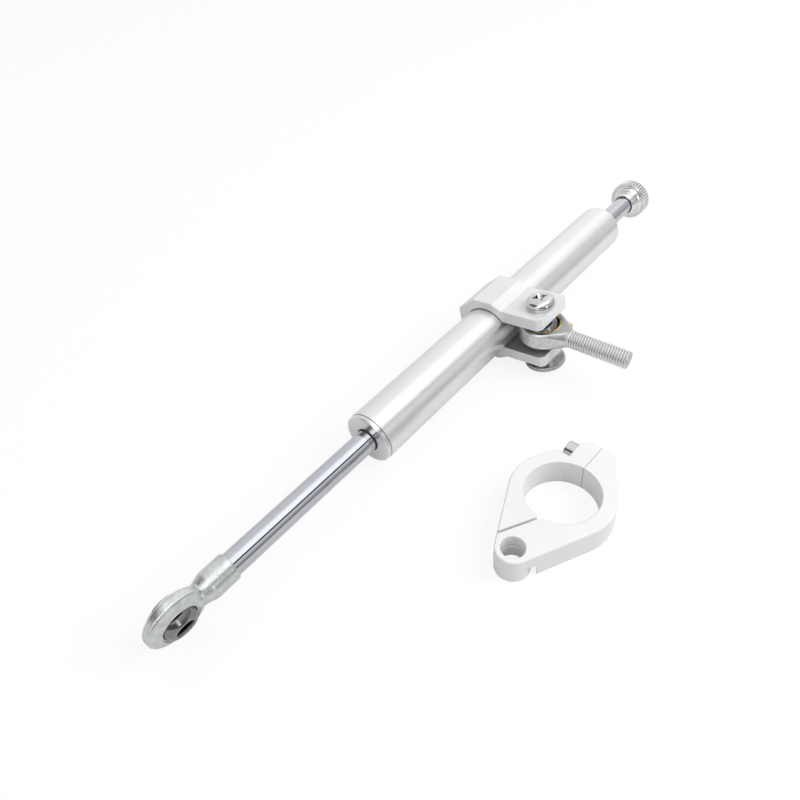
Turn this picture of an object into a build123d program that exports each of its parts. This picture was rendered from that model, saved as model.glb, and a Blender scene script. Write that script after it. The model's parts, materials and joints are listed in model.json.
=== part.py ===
from build123d import *
import math
import os

os.makedirs("parts", exist_ok=True)

# Motorcycle steering damper with its clamps, lying on a flat surface.
# Lengths are in millimetres and angles in degrees.
# Each damper piece is first made in the damper's own frame: its axis is X, the tube's near
# end is at zero, the knob is at the far end, and the clamp's ears point to -Y.
# The fork clamp is made flat, with its bore's axis on Z. Both are then laid on the floor.

# One overrun serves every cut.
OVERRUN = 1.0

# Running clearances, on the radius
SLIDE_CLEARANCE = 0.05
BALL_CLEARANCE = 0.07
FREE_CLEARANCE = 0.35
BOLT_CLEARANCE = 0.2

# Tube
TUBE_RADIUS = 11.8
TUBE_WALL = 2.3
TUBE_LENGTH = 192.6
TUBE_END_ROUND = 0.9
TUBE_END_SLOPE_SHARE = 0.3
TUBE_BORE = TUBE_RADIUS - TUBE_WALL

# Piston rod, which runs right through the tube
ROD_RADIUS = 5.0
ROD_SHOWING_FRONT = 75.2
ROD_SHOWING_REAR = 27.4
ROD_THREAD_DEPTH = 9.0
ROD_EDGE = 0.5

# Adjuster spindle inside the rod
SPINDLE_RADIUS = 2.0
SPINDLE_LENGTH = 150.0
SPINDLE_END_GAP = 1.2

# Travel of the rod each way from rest
TRAVEL_IN = 74.0
TRAVEL_OUT = 22.0

# End caps, which close the tube and guide the rod
CAP_FLANGE = 1.6
CAP_FLANGE_RADIUS = 11.6
CAP_SEAM = 0.6
CAP_DEPTH = 26.0
CAP_EDGE = 0.4
REAR_CAP_SETBACK = 2.2
SCRAPER_DEPTH = 3.0
SCRAPER_RADIUS = 6.9
SCRAPER_LIP = 0.3
LIP_RADIUS = 5.65
SEAL_OFFSET = 6.0
SEAL_WIDTH = 3.2
SEAL_RADIUS = 7.6
BUSH_OFFSET = 11.0
BUSH_LENGTH = 13.0
BUSH_WALL = 1.5
ORING_OFFSET = 16.0
ORING_WIDTH = 2.0
ORING_DEPTH = 1.5
CLIP_WIDTH = 1.2
CLIP_GROOVE = 0.8
CLIP_REACH = 1.9
CLIP_GAP_ANGLE = 50.0

# Piston, its band and its two clips
PISTON_LENGTH = 14.0
PISTON_GAP = 0.3
BAND_WIDTH = 6.0
BAND_DEPTH = 1.1
PORT_RADIUS = 0.8
PORT_COUNT = 6
ROD_CLIP_WIDTH = 1.2
ROD_CLIP_GROOVE = 0.7
ROD_CLIP_RADIUS = 6.6

# Rod eye, a forged ring on a shank
EYE_RADIUS = 12.3
EYE_RIM_HALF = 2.0
EYE_FACE_HALF = 4.0
EYE_OPENING = 8.0
EYE_RACE_SEAT = 9.3
EYE_CENTRE_GAP = 25.3
EYE_SHANK_RADIUS = 5.85
EYE_SHANK_LENGTH = 10.6
EYE_NECK_RADIUS = 4.5
EYE_NECK_LENGTH = 4.2
EYE_SHANK_EDGE = 0.5
EYE_FACE_TURN = -19.0
EYE_BALL_TURN = -26.0

# Spherical bearings: the same ball serves both eyes
BALL_RADIUS = 7.94
BALL_HALF = 6.0
BALL_BORE = 4.0
RACE_HALF = 3.4

# Knob on the rod's rear end
KNOB_GRIP_RADIUS = 11.0
KNOB_GRIP_LENGTH = 5.4
KNOB_SHOULDER = 1.6
KNOB_FACE_RADIUS = 9.6
KNOB_HUB_LENGTH = 5.8
KNOB_HUB_STEP = 2.5
KNOB_TIP_RADIUS = 5.9
KNOB_NECK_RADIUS = 6.8
KNOB_FOOT_RADIUS = 7.6
KNOB_DISH = 0.8
KNOB_EDGE = 0.6
KNOB_WEB = 5.0
SNAP_RING_WIRE = 0.8
SNAP_RING_OFFSET = 3.2
KNOB_SCREW_RADIUS = 1.5
KNOB_SCREW_HEAD_RADIUS = 2.5
KNOB_SCREW_HEAD = 1.6
KNOB_SCREW_LENGTH = 11.0
KNOB_SCREW_HEX = 1.0
DETENT_RADIUS = 1.0
DETENT_PITCH_RADIUS = 3.9
DETENT_DEPTH = 4.4
SPRING_WIRE = 0.35
SPRING_TURNS = 4

# Body clamp, one piece with two ears
CLAMP_LENGTH = 23.8
CLAMP_CENTRE = 96.0
CLAMP_HALF_HEIGHT = 15.6
CLAMP_BACK = 15.6
CLAMP_BACK_FLAT = 8.7
CLAMP_TOP_FROM = 6.3
CLAMP_TOP_TO = 4.5
CLAMP_FACET_TO = 9.9
EAR_GAP_HALF = 7.5
EAR_THICKNESS = 5.5
EAR_REACH = 30.3
EAR_CORNER = 1.9
CLAMP_EDGE = 0.4

# Bolt through the ears, its nut and the two spacers beside the ball
BOLT_RADIUS = 4.0
BOLT_OFFSET = 23.6
BOLT_HEAD_RADIUS = 6.7
BOLT_HEAD = 4.8
BOLT_HEAD_ROUND = 2.0
CROSS_WIDTH = 1.7
CROSS_REACH = 4.4
CROSS_DEPTH = 2.4
SPACER_RADIUS = 8.0
NUT_ACROSS_FLATS = 13.0
NUT_HEX = 3.6
NUT_COLLAR = 2.2
NUT_COLLAR_RADIUS = 9.6
NUT_COLLAR_EDGE = 0.5

# Male rod end that hangs on the ball
HEAD_RADIUS = 11.0
HEAD_HALF = 4.5
HEAD_EDGE = 1.0
HEAD_RACE_SEAT = 9.4
HEAD_OPENING = 7.7
STUD_RADIUS = 4.0
STUD_REACH = 42.8
STUD_THREAD = 26.0
STUD_EDGE = 0.9
NECK_RADIUS = 5.2
NECK_START = 9.6
ROD_END_SWING = 4.4
ROD_END_DROOP = 10.0
NIPPLE_ANGLE = 40.0
NIPPLE_BASE_RADIUS = 2.4
NIPPLE_TIP_RADIUS = 1.5
NIPPLE_HEIGHT = 3.0
NIPPLE_SEAT = 1.2
NIPPLE_NECK_RADIUS = 1.1
NIPPLE_BASE_SHARE = 0.4
NIPPLE_TAPER_SHARE = 0.8
NIPPLE_END_SHARE = 0.6

# Fork clamp in two halves, with the hole that takes the rod end
FORK_BORE = 15.0
FORK_WALL = 5.9
FORK_THICKNESS = 12.0
FORK_EAR_OFFSET = 32.3
FORK_EAR_BORE = 4.7
FORK_BOSS_RADIUS = 6.9
FORK_RECESS_RADIUS = 9.3
FORK_RECESS_DEPTH = 6.0
FORK_GROOVE_WIDTH = 1.5
FORK_GROOVE_DEPTH = 0.35
FORK_LUG_REACH = 29.2
FORK_LUG_HALF = 5.8
FORK_LUG_CORNER = 1.2
FORK_SEAM = 0.15
FORK_SLOT = 0.9
FORK_SLOT_MOUTH = 1.4
FORK_SLOT_TURN = -27.8
FORK_EDGE = 0.4
FORK_LOWER_EDGE = 0.15
FORK_SEAT_OFFSET = 7.9
FORK_SEAT_FROM = 17.0
FORK_BOLT_RADIUS = 2.5
FORK_BOLT_HEAD_RADIUS = 4.25
FORK_BOLT_HEAD = 5.0
FORK_BOLT_HEX = 2.3
FORK_BOLT_HEX_DEPTH = 2.6
FORK_BOLT_GRIP = 6.0
FORK_BOLT_OFFSET = 24.2
FORK_SLOT_BOLT_ALONG = 21.1
FORK_SLOT_SEAT_OFFSET = 6.3

# Where the fork clamp lies beside the damper, and how it is turned
FORK_AHEAD = 23.8
FORK_ASIDE = 77.8
FORK_TURN = 177.9

# Places along the damper's axis that follow from these sizes
CAP_FACE = -CAP_SEAM - CAP_FLANGE
ROD_FRONT_SHOWS_TO = CAP_FACE - ROD_SHOWING_FRONT
EYE_X = ROD_FRONT_SHOWS_TO - EYE_CENTRE_GAP
KNOB_FACE = TUBE_LENGTH + ROD_SHOWING_REAR
GRIP_FACE = KNOB_FACE + KNOB_HUB_LENGTH
KNOB_BACK = GRIP_FACE + KNOB_GRIP_LENGTH
ROD_FRONT_END = ROD_FRONT_SHOWS_TO - ROD_THREAD_DEPTH
ROD_REAR_END = KNOB_BACK - KNOB_WEB
FRONT_CAP_BACK = CAP_DEPTH
REAR_CAP_FACE = TUBE_LENGTH - REAR_CAP_SETBACK
REAR_CAP_BACK = REAR_CAP_FACE - CAP_DEPTH
PISTON_X = (FRONT_CAP_BACK + TRAVEL_OUT + REAR_CAP_BACK - TRAVEL_IN) / 2
SPINDLE_FRONT = ROD_REAR_END - SPINDLE_LENGTH
EAR_OUTER = EAR_GAP_HALF + EAR_THICKNESS
NUT_BOTTOM = EAR_OUTER + NUT_HEX + NUT_COLLAR
FORK_RADIUS = FORK_BORE + FORK_WALL


def ring(start, end, outer, inner):
    """Plain ring about X."""
    outline = [(start, inner), (start, outer), (end, outer), (end, inner)]
    return turned(outline)


def turned(outline):
    """Solid turned about X from (place, radius) corners."""
    return revolve(make_face(Polyline(*outline, close=True)), axis=Axis.X)


def rod_between(start, end, radius, place=Location()):
    """Round bar along the place's Z, from start to end."""
    length = end - start
    bar = Cylinder(radius, length, align=(Align.CENTER, Align.CENTER, Align.MIN))
    return place * Pos(0, 0, start) * bar


def hexagon_between(start, end, across_flats, place=Location()):
    """Six-sided bar along the place's Z, from start to end."""
    corner = across_flats / math.sqrt(3)
    return place * Pos(0, 0, start) * extrude(RegularPolygon(corner, 6), end - start)


def box_between(low, high):
    """Box from its lowest to its highest corner."""
    size = [b - a for a, b in zip(low, high)]
    return Pos(*low) * Box(*size, align=(Align.MIN, Align.MIN, Align.MIN))


def make_tube():
    """Tube with a small bevel at its far end."""
    length, bevel = TUBE_LENGTH, TUBE_END_ROUND
    slope = bevel * TUBE_END_SLOPE_SHARE
    outline = [
        (0, TUBE_BORE),
        (0, TUBE_RADIUS),
        (length - bevel, TUBE_RADIUS),
        (length - slope, TUBE_RADIUS - slope),
        (length, TUBE_RADIUS - bevel),
        (length, TUBE_BORE),
    ]
    groove = ring(REAR_CAP_FACE, REAR_CAP_FACE + CLIP_WIDTH, TUBE_BORE + CLIP_GROOVE, 0)
    return turned(outline) - groove


def cap_hollows(face, inward):
    """Room inside a cap for the scraper, the seal and the bush, and the rod's way through."""
    def hollow(offset, width, radius):
        return ring(*sorted((face + inward * offset, face + inward * (offset + width))), radius, 0)

    return [
        hollow(-OVERRUN, CAP_FLANGE + CAP_DEPTH + 2 * OVERRUN, ROD_RADIUS + FREE_CLEARANCE),
        hollow(-OVERRUN, OVERRUN + SCRAPER_DEPTH, SCRAPER_RADIUS),
        hollow(SEAL_OFFSET, SEAL_WIDTH, SEAL_RADIUS),
        hollow(BUSH_OFFSET, BUSH_LENGTH, ROD_RADIUS + BUSH_WALL),
    ]


def oring_groove(face, inward):
    """Groove round a cap's outside."""
    low, high = oring_span(face, inward)
    return ring(low, high, TUBE_BORE + OVERRUN, TUBE_BORE - ORING_DEPTH)


def oring_span(face, inward):
    """Where a cap's outer seal sits along the axis."""
    return sorted((face + inward * ORING_OFFSET, face + inward * (ORING_OFFSET + ORING_WIDTH)))


def make_front_cap():
    """Front cap: a flange against the tube's end, and a plug inside the tube."""
    outline = [
        (CAP_FACE, 0),
        (CAP_FACE, CAP_FLANGE_RADIUS - CAP_EDGE),
        (CAP_FACE + CAP_EDGE, CAP_FLANGE_RADIUS),
        (-CAP_SEAM, CAP_FLANGE_RADIUS),
        (-CAP_SEAM, TUBE_BORE),
        (FRONT_CAP_BACK, TUBE_BORE),
        (FRONT_CAP_BACK, 0),
    ]
    return turned(outline) - cap_hollows(CAP_FACE, 1) - oring_groove(CAP_FACE, 1)


def make_rear_cap():
    """Rear cap: a plug held in the tube by a retaining ring."""
    plug = ring(REAR_CAP_BACK, REAR_CAP_FACE, TUBE_BORE, 0)
    return plug - cap_hollows(REAR_CAP_FACE, -1) - oring_groove(REAR_CAP_FACE, -1)


def make_scraper(face, inward):
    """Dark lip that wipes the rod where it leaves the cap."""
    lip = face - inward * SCRAPER_LIP
    back = face + inward * SCRAPER_DEPTH
    inner = ROD_RADIUS + SLIDE_CLEARANCE
    return turned([
        (lip, inner),
        (lip, LIP_RADIUS),
        (face, LIP_RADIUS),
        (face, SCRAPER_RADIUS),
        (back, SCRAPER_RADIUS),
        (back, inner),
    ])


def make_rod_seal(face, inward):
    """Oil seal round the rod."""
    ends = sorted((face + inward * SEAL_OFFSET, face + inward * (SEAL_OFFSET + SEAL_WIDTH)))
    return ring(*ends, SEAL_RADIUS, ROD_RADIUS + SLIDE_CLEARANCE)


def make_bush(face, inward):
    """Guide bush round the rod."""
    ends = sorted((face + inward * BUSH_OFFSET, face + inward * (BUSH_OFFSET + BUSH_LENGTH)))
    return ring(*ends, ROD_RADIUS + BUSH_WALL, ROD_RADIUS + SLIDE_CLEARANCE)


def make_cap_oring(face, inward):
    """Seal between a cap and the tube."""
    return ring(*oring_span(face, inward), TUBE_BORE, TUBE_BORE - ORING_DEPTH)


def open_ring(start, width, outer, inner):
    """Spring clip: a ring with a gap."""
    clip = ring(start, start + width, outer, inner)
    reach = outer + OVERRUN
    half = math.radians(CLIP_GAP_ANGLE / 2)
    wedge = Polyline((0, 0), (reach, reach * math.tan(half)), (reach, -reach * math.tan(half)), close=True)
    plane = Plane(origin=(start - OVERRUN, 0, 0), x_dir=(0, 0, 1), z_dir=(1, 0, 0))
    return clip - extrude(plane * make_face(wedge), width + 2 * OVERRUN)


def make_retaining_ring():
    """Ring that holds the rear cap in the tube."""
    outer = TUBE_BORE + CLIP_GROOVE
    return open_ring(REAR_CAP_FACE, CLIP_WIDTH, outer, outer - CLIP_REACH)


def rod_clip_starts():
    """Where the two piston clips start along the rod."""
    half = PISTON_LENGTH / 2
    return PISTON_X - half - ROD_CLIP_WIDTH, PISTON_X + half


def make_rod():
    """Ground rod, bored from the rear for the spindle, with grooves for its clips."""
    edge = ROD_EDGE
    outline = [
        (ROD_FRONT_END, 0),
        (ROD_FRONT_END, ROD_RADIUS - edge),
        (ROD_FRONT_END + edge, ROD_RADIUS),
        (ROD_REAR_END - edge, ROD_RADIUS),
        (ROD_REAR_END, ROD_RADIUS - edge),
        (ROD_REAR_END, 0),
    ]
    bore_end = SPINDLE_FRONT - SPINDLE_END_GAP
    rod = turned(outline) - ring(bore_end, ROD_REAR_END + OVERRUN, SPINDLE_RADIUS + SLIDE_CLEARANCE, 0)
    groove = ROD_RADIUS - ROD_CLIP_GROOVE
    for start in rod_clip_starts():
        rod -= ring(start, start + ROD_CLIP_WIDTH, ROD_RADIUS + OVERRUN, groove)
    snap = KNOB_FACE + SNAP_RING_OFFSET
    rod -= ring(snap, snap + SNAP_RING_WIRE, ROD_RADIUS + OVERRUN, ROD_RADIUS - SNAP_RING_WIRE / 2)
    port = rod_between(-ROD_RADIUS, ROD_RADIUS, PORT_RADIUS, Pos(PISTON_X, 0, 0))
    return rod - port


def make_piston():
    """Piston with a band groove, bypass ports and a bore that fits the rod."""
    half = PISTON_LENGTH / 2
    outer = TUBE_BORE - PISTON_GAP
    piston = ring(PISTON_X - half, PISTON_X + half, outer, ROD_RADIUS)
    groove = ring(PISTON_X - BAND_WIDTH / 2, PISTON_X + BAND_WIDTH / 2, outer + OVERRUN, outer - BAND_DEPTH)
    piston -= groove
    port_circle = (ROD_RADIUS + outer - BAND_DEPTH) / 2
    for index in range(PORT_COUNT):
        turn = Rot(360 * index / PORT_COUNT, 0, 0)
        start = turn * Pos(PISTON_X - half - OVERRUN, 0, port_circle) * Rot(0, 90, 0)
        piston -= rod_between(0, PISTON_LENGTH + 2 * OVERRUN, PORT_RADIUS, start)
    return piston


def make_piston_band():
    """Sliding band between the piston and the tube."""
    inner = TUBE_BORE - PISTON_GAP - BAND_DEPTH
    return ring(PISTON_X - BAND_WIDTH / 2, PISTON_X + BAND_WIDTH / 2, TUBE_BORE - SLIDE_CLEARANCE, inner)


def make_piston_clip(start):
    """Clip that holds the piston on the rod."""
    return open_ring(start, ROD_CLIP_WIDTH, ROD_CLIP_RADIUS, ROD_RADIUS - ROD_CLIP_GROOVE)


def make_snap_ring():
    """Wire ring in the rod's groove that keeps the knob from pulling off."""
    start = KNOB_FACE + SNAP_RING_OFFSET
    inner = ROD_RADIUS - SNAP_RING_WIRE / 2
    return open_ring(start, SNAP_RING_WIRE, inner + SNAP_RING_WIRE, inner)


def eye_place(turn):
    """Place at the eye's centre, with Z along an axis turned about the rod from -Y."""
    toward = (0, -math.cos(math.radians(turn)), math.sin(math.radians(turn)))
    return Location(Plane(origin=(EYE_X, 0, 0), x_dir=(1, 0, 0), z_dir=toward))


def turned_at(place, outline):
    """Solid turned about the place's Z from (radius, height) corners."""
    corners = [(radius, 0, height) for radius, height in outline]
    return place * revolve(make_face(Polyline(*corners, close=True)), axis=Axis.Z)


def race_cavity(place):
    """Round hollow for a ball at a place."""
    return place * Sphere(BALL_RADIUS + BALL_CLEARANCE)


def eye_ring(place):
    """Forged ring: full at its opening, thinner towards its rim."""
    return turned_at(place, [
        (0, -EYE_FACE_HALF),
        (EYE_OPENING, -EYE_FACE_HALF),
        (EYE_RADIUS, -EYE_RIM_HALF),
        (EYE_RADIUS, EYE_RIM_HALF),
        (EYE_OPENING, EYE_FACE_HALF),
        (0, EYE_FACE_HALF),
    ])


def race_seat(place, radius, opening, half):
    """Stepped hole for a race: a wide seat between two narrower openings."""
    seat = rod_between(-RACE_HALF, RACE_HALF, radius, place)
    return seat + rod_between(-half - OVERRUN, half + OVERRUN, opening, place)


def make_rod_eye():
    """Eye with a round shank that screws on the rod."""
    place = eye_place(EYE_FACE_TURN)
    shank_start = ROD_FRONT_SHOWS_TO - EYE_SHANK_LENGTH
    neck_start = shank_start - EYE_NECK_LENGTH
    edge = EYE_SHANK_EDGE
    shank = turned([
        (EYE_X + EYE_OPENING, 0),
        (EYE_X + EYE_OPENING, EYE_NECK_RADIUS),
        (neck_start, EYE_NECK_RADIUS),
        (shank_start, EYE_SHANK_RADIUS),
        (ROD_FRONT_SHOWS_TO - edge, EYE_SHANK_RADIUS),
        (ROD_FRONT_SHOWS_TO, EYE_SHANK_RADIUS - edge),
        (ROD_FRONT_SHOWS_TO, 0),
    ])
    eye = eye_ring(place) + shank
    eye -= race_seat(place, EYE_RACE_SEAT, EYE_OPENING, EYE_FACE_HALF)
    return eye - ring(ROD_FRONT_END, ROD_FRONT_SHOWS_TO + OVERRUN, ROD_RADIUS, 0)


def make_race(place, radius):
    """Bearing shell between a housing and its ball."""
    return rod_between(-RACE_HALF, RACE_HALF, radius, place) - race_cavity(place)


def make_ball(place):
    """Bored ball with two flats."""
    ball = place * Sphere(BALL_RADIUS)
    slab = rod_between(-BALL_HALF, BALL_HALF, BALL_RADIUS + OVERRUN, place)
    bore = rod_between(-BALL_RADIUS, BALL_RADIUS, BALL_BORE + SLIDE_CLEARANCE, place)
    return (ball & slab) - bore


def make_knob():
    """Knob with a stepped hub, a dished face, a grip rim and a web behind the rod."""
    edge = KNOB_EDGE
    outline = [
        (KNOB_FACE, 0),
        (KNOB_FACE, KNOB_TIP_RADIUS),
        (KNOB_FACE + KNOB_HUB_STEP, KNOB_TIP_RADIUS),
        (KNOB_FACE + KNOB_HUB_STEP, KNOB_NECK_RADIUS),
        (GRIP_FACE + KNOB_DISH, KNOB_FOOT_RADIUS),
        (GRIP_FACE, KNOB_FACE_RADIUS),
        (GRIP_FACE + KNOB_SHOULDER, KNOB_GRIP_RADIUS),
        (KNOB_BACK - edge, KNOB_GRIP_RADIUS),
        (KNOB_BACK, KNOB_GRIP_RADIUS - edge),
        (KNOB_BACK, 0),
    ]
    knob = turned(outline)
    knob -= ring(KNOB_FACE - OVERRUN, ROD_REAR_END, ROD_RADIUS + SLIDE_CLEARANCE, 0)
    snap = KNOB_FACE + SNAP_RING_OFFSET
    room = FREE_CLEARANCE
    knob -= ring(snap - room, snap + SNAP_RING_WIRE + room, ROD_RADIUS + SNAP_RING_WIRE / 2 + room, 0)
    knob -= ring(KNOB_BACK - KNOB_SCREW_HEAD, KNOB_BACK + OVERRUN, KNOB_SCREW_HEAD_RADIUS, 0)
    knob -= ring(ROD_REAR_END - OVERRUN, KNOB_BACK, KNOB_SCREW_RADIUS, 0)
    return knob - detent_bore()


def detent_bore():
    """Blind hole in the knob's web for the click ball and its spring."""
    start = Pos(ROD_REAR_END, 0, DETENT_PITCH_RADIUS) * Rot(0, 90, 0)
    return rod_between(-OVERRUN, DETENT_DEPTH, DETENT_RADIUS + SLIDE_CLEARANCE, start)


def make_spindle():
    """Rotary valve spindle, turned by the knob, with a cross port at the piston."""
    spindle = ring(SPINDLE_FRONT, ROD_REAR_END, SPINDLE_RADIUS, 0)
    spindle -= rod_between(-SPINDLE_RADIUS, SPINDLE_RADIUS, PORT_RADIUS, Pos(PISTON_X, 0, 0))
    thread_end = KNOB_BACK - KNOB_SCREW_HEAD - KNOB_SCREW_LENGTH
    return spindle - ring(thread_end, ROD_REAR_END + OVERRUN, KNOB_SCREW_RADIUS, 0)


def make_knob_screw():
    """Screw that ties the knob to the spindle."""
    head_start = KNOB_BACK - KNOB_SCREW_HEAD
    screw = ring(head_start, KNOB_BACK, KNOB_SCREW_HEAD_RADIUS, 0)
    screw += ring(head_start - KNOB_SCREW_LENGTH, head_start, KNOB_SCREW_RADIUS, 0)
    place = Pos(KNOB_BACK, 0, 0) * Rot(0, -90, 0)
    return screw - hexagon_between(-OVERRUN, KNOB_SCREW_HEAD / 2, KNOB_SCREW_HEX * 2, place)


def make_detent_ball():
    """Click ball that presses on the rod's end."""
    return Pos(ROD_REAR_END + DETENT_RADIUS, 0, DETENT_PITCH_RADIUS) * Sphere(DETENT_RADIUS)


def make_detent_spring():
    """Coil spring behind the click ball."""
    start = ROD_REAR_END + 2 * DETENT_RADIUS + SPRING_WIRE / 2
    end = ROD_REAR_END + DETENT_DEPTH - SPRING_WIRE / 2
    radius = DETENT_RADIUS - SPRING_WIRE / 2
    pitch = (end - start) / SPRING_TURNS
    coil = Helix(pitch, end - start, radius)
    section = Plane(origin=coil @ 0, z_dir=coil % 0) * Circle(SPRING_WIRE / 2)
    spring = sweep(section, path=coil)
    return Pos(start, 0, DETENT_PITCH_RADIUS) * Rot(0, 90, 0) * spring


def clamp_outline():
    """Upper half of the body clamp's section, from its back to its ear, as (reach, height)."""
    return [
        (-CLAMP_BACK, 0),
        (-CLAMP_BACK, CLAMP_BACK_FLAT),
        (-CLAMP_TOP_FROM, CLAMP_HALF_HEIGHT),
        (CLAMP_TOP_TO, CLAMP_HALF_HEIGHT),
        (CLAMP_FACET_TO, EAR_OUTER),
        (EAR_REACH, EAR_OUTER),
        (EAR_REACH, 0),
    ]


def make_body_clamp():
    """One-piece clamp that grips the tube, with two ears for the rod end."""
    upper = [(-reach, height) for reach, height in clamp_outline()]
    lower = [(across, -height) for across, height in reversed(upper[1:-1])]
    start = CLAMP_CENTRE - CLAMP_LENGTH / 2
    section = Plane(origin=(start, 0, 0), x_dir=(0, 1, 0), z_dir=(1, 0, 0))
    clamp = extrude(section * make_face(Polyline(*upper, *lower, close=True)), CLAMP_LENGTH)
    corners = clamp.edges().filter_by(Axis.Z).group_by(Axis.Y)[0]
    clamp = chamfer(corners, EAR_CORNER)
    rims = clamp.faces().filter_by(Axis.X).edges()
    clamp = chamfer(rims, CLAMP_EDGE)
    end = start + CLAMP_LENGTH
    clamp -= ring(start - OVERRUN, end + OVERRUN, TUBE_RADIUS + SLIDE_CLEARANCE, 0)
    gap_low = (start - OVERRUN, -EAR_REACH - OVERRUN, -EAR_GAP_HALF)
    gap_high = (end + OVERRUN, 0, EAR_GAP_HALF)
    clamp -= box_between(gap_low, gap_high)
    hole_reach = EAR_OUTER + OVERRUN
    return clamp - rod_between(-hole_reach, hole_reach, BOLT_RADIUS + BOLT_CLEARANCE, bolt_place())


def bolt_place():
    """Place on the ears' bolt axis, level with the damper's axis."""
    return Pos(CLAMP_CENTRE, -BOLT_OFFSET, 0)


def make_clamp_bolt():
    """Screw with a rounded head and a cross recess."""
    bolt = rod_between(-NUT_BOTTOM, EAR_OUTER + OVERRUN, BOLT_RADIUS, bolt_place())
    head = rod_between(EAR_OUTER, EAR_OUTER + BOLT_HEAD, BOLT_HEAD_RADIUS)
    head = fillet(head.edges().group_by(Axis.Z)[-1], BOLT_HEAD_ROUND)
    top = EAR_OUTER + BOLT_HEAD
    for turn in (0, 90):
        low = (-CROSS_REACH, -CROSS_WIDTH / 2, top - CROSS_DEPTH)
        high = (CROSS_REACH, CROSS_WIDTH / 2, top + OVERRUN)
        head -= Rot(0, 0, turn + 45) * box_between(low, high)
    return bolt + bolt_place() * head


def make_clamp_nut():
    """Nut with a wide collar at its free end."""
    place = bolt_place()
    collar_top = -EAR_OUTER - NUT_HEX
    nut = hexagon_between(collar_top, -EAR_OUTER, NUT_ACROSS_FLATS, place)
    edge = NUT_COLLAR_EDGE
    collar = turned_at(place, [
        (0, collar_top),
        (NUT_COLLAR_RADIUS - edge, collar_top),
        (NUT_COLLAR_RADIUS, collar_top - edge),
        (NUT_COLLAR_RADIUS, -NUT_BOTTOM),
        (0, -NUT_BOTTOM),
    ])
    return nut + collar - rod_between(-NUT_BOTTOM - OVERRUN, 0, BOLT_RADIUS, place)


def make_spacer(side):
    """Washer between the ball and an ear."""
    ends = sorted((side * (BALL_HALF + SLIDE_CLEARANCE), side * EAR_GAP_HALF))
    spacer = rod_between(*ends, SPACER_RADIUS, bolt_place())
    return spacer - rod_between(-EAR_OUTER, EAR_OUTER, BOLT_RADIUS, bolt_place())


def rod_end_place():
    """Place at the rod end's ball: Z along its bore and X along its stud."""
    return bolt_place() * Rot(0, 0, -90 + ROD_END_SWING) * Rot(0, ROD_END_DROOP, 0)


def stud_shape():
    """Neck and stud as one turned bar along X."""
    root = STUD_REACH - STUD_THREAD
    bar = turned([
        (NECK_START, 0),
        (NECK_START, NECK_RADIUS),
        (HEAD_RADIUS, NECK_RADIUS),
        (root, STUD_RADIUS),
        (STUD_REACH - STUD_EDGE, STUD_RADIUS),
        (STUD_REACH, STUD_RADIUS - STUD_EDGE),
        (STUD_REACH, 0),
    ])
    reach = NECK_RADIUS + OVERRUN
    trim = box_between((0, -reach, -HEAD_HALF), (STUD_REACH + OVERRUN, reach, HEAD_HALF))
    return bar & trim


def make_rod_end_housing():
    """Ring and threaded stud, forged as one."""
    head = turned_at(Location(), [
        (0, -HEAD_HALF),
        (HEAD_RADIUS - HEAD_EDGE, -HEAD_HALF),
        (HEAD_RADIUS, -HEAD_HALF + HEAD_EDGE),
        (HEAD_RADIUS, HEAD_HALF - HEAD_EDGE),
        (HEAD_RADIUS - HEAD_EDGE, HEAD_HALF),
        (0, HEAD_HALF),
    ])
    housing = head + stud_shape()
    housing -= race_seat(Location(), HEAD_RACE_SEAT, HEAD_OPENING, HEAD_HALF)
    seat = HEAD_RADIUS - NIPPLE_SEAT
    housing -= rod_between(seat, HEAD_RADIUS + OVERRUN, NIPPLE_NECK_RADIUS, nipple_place())
    return rod_end_place() * housing


def nipple_place():
    """Place with Z out along the grease nipple, in the rod end's own frame."""
    return Rot(0, 0, NIPPLE_ANGLE) * Rot(0, 90, 0)


def make_grease_nipple():
    """Small brass nipple on the rod end's rim."""
    base = HEAD_RADIUS + SLIDE_CLEARANCE
    nipple = turned_at(Location(), [
        (0, HEAD_RADIUS - NIPPLE_SEAT),
        (NIPPLE_NECK_RADIUS, HEAD_RADIUS - NIPPLE_SEAT),
        (NIPPLE_NECK_RADIUS, base),
        (NIPPLE_BASE_RADIUS, base),
        (NIPPLE_BASE_RADIUS, base + NIPPLE_HEIGHT * NIPPLE_BASE_SHARE),
        (NIPPLE_TIP_RADIUS, base + NIPPLE_HEIGHT * NIPPLE_TAPER_SHARE),
        (NIPPLE_TIP_RADIUS * NIPPLE_END_SHARE, base + NIPPLE_HEIGHT),
        (0, base + NIPPLE_HEIGHT),
    ])
    return rod_end_place() * nipple_place() * nipple


def fork_direction(turn):
    """Unit step in the fork clamp's plane."""
    return math.cos(math.radians(turn)), math.sin(math.radians(turn))


def fork_outline():
    """Outer shape of the fork clamp seen along its bore."""
    ring_face = Circle(FORK_RADIUS)
    boss = Pos(FORK_EAR_OFFSET, 0) * Circle(FORK_BOSS_RADIUS)
    lean = math.degrees(math.acos((FORK_RADIUS - FORK_BOSS_RADIUS) / FORK_EAR_OFFSET))
    side = [fork_direction(lean), fork_direction(-lean)]
    arm = Polyline(
        (FORK_RADIUS * side[0][0], FORK_RADIUS * side[0][1]),
        (FORK_EAR_OFFSET + FORK_BOSS_RADIUS * side[0][0], FORK_BOSS_RADIUS * side[0][1]),
        (FORK_EAR_OFFSET + FORK_BOSS_RADIUS * side[1][0], FORK_BOSS_RADIUS * side[1][1]),
        (FORK_RADIUS * side[1][0], FORK_RADIUS * side[1][1]),
        close=True,
    )
    return ring_face + boss + make_face(arm) + make_face(lug_outline())


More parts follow.
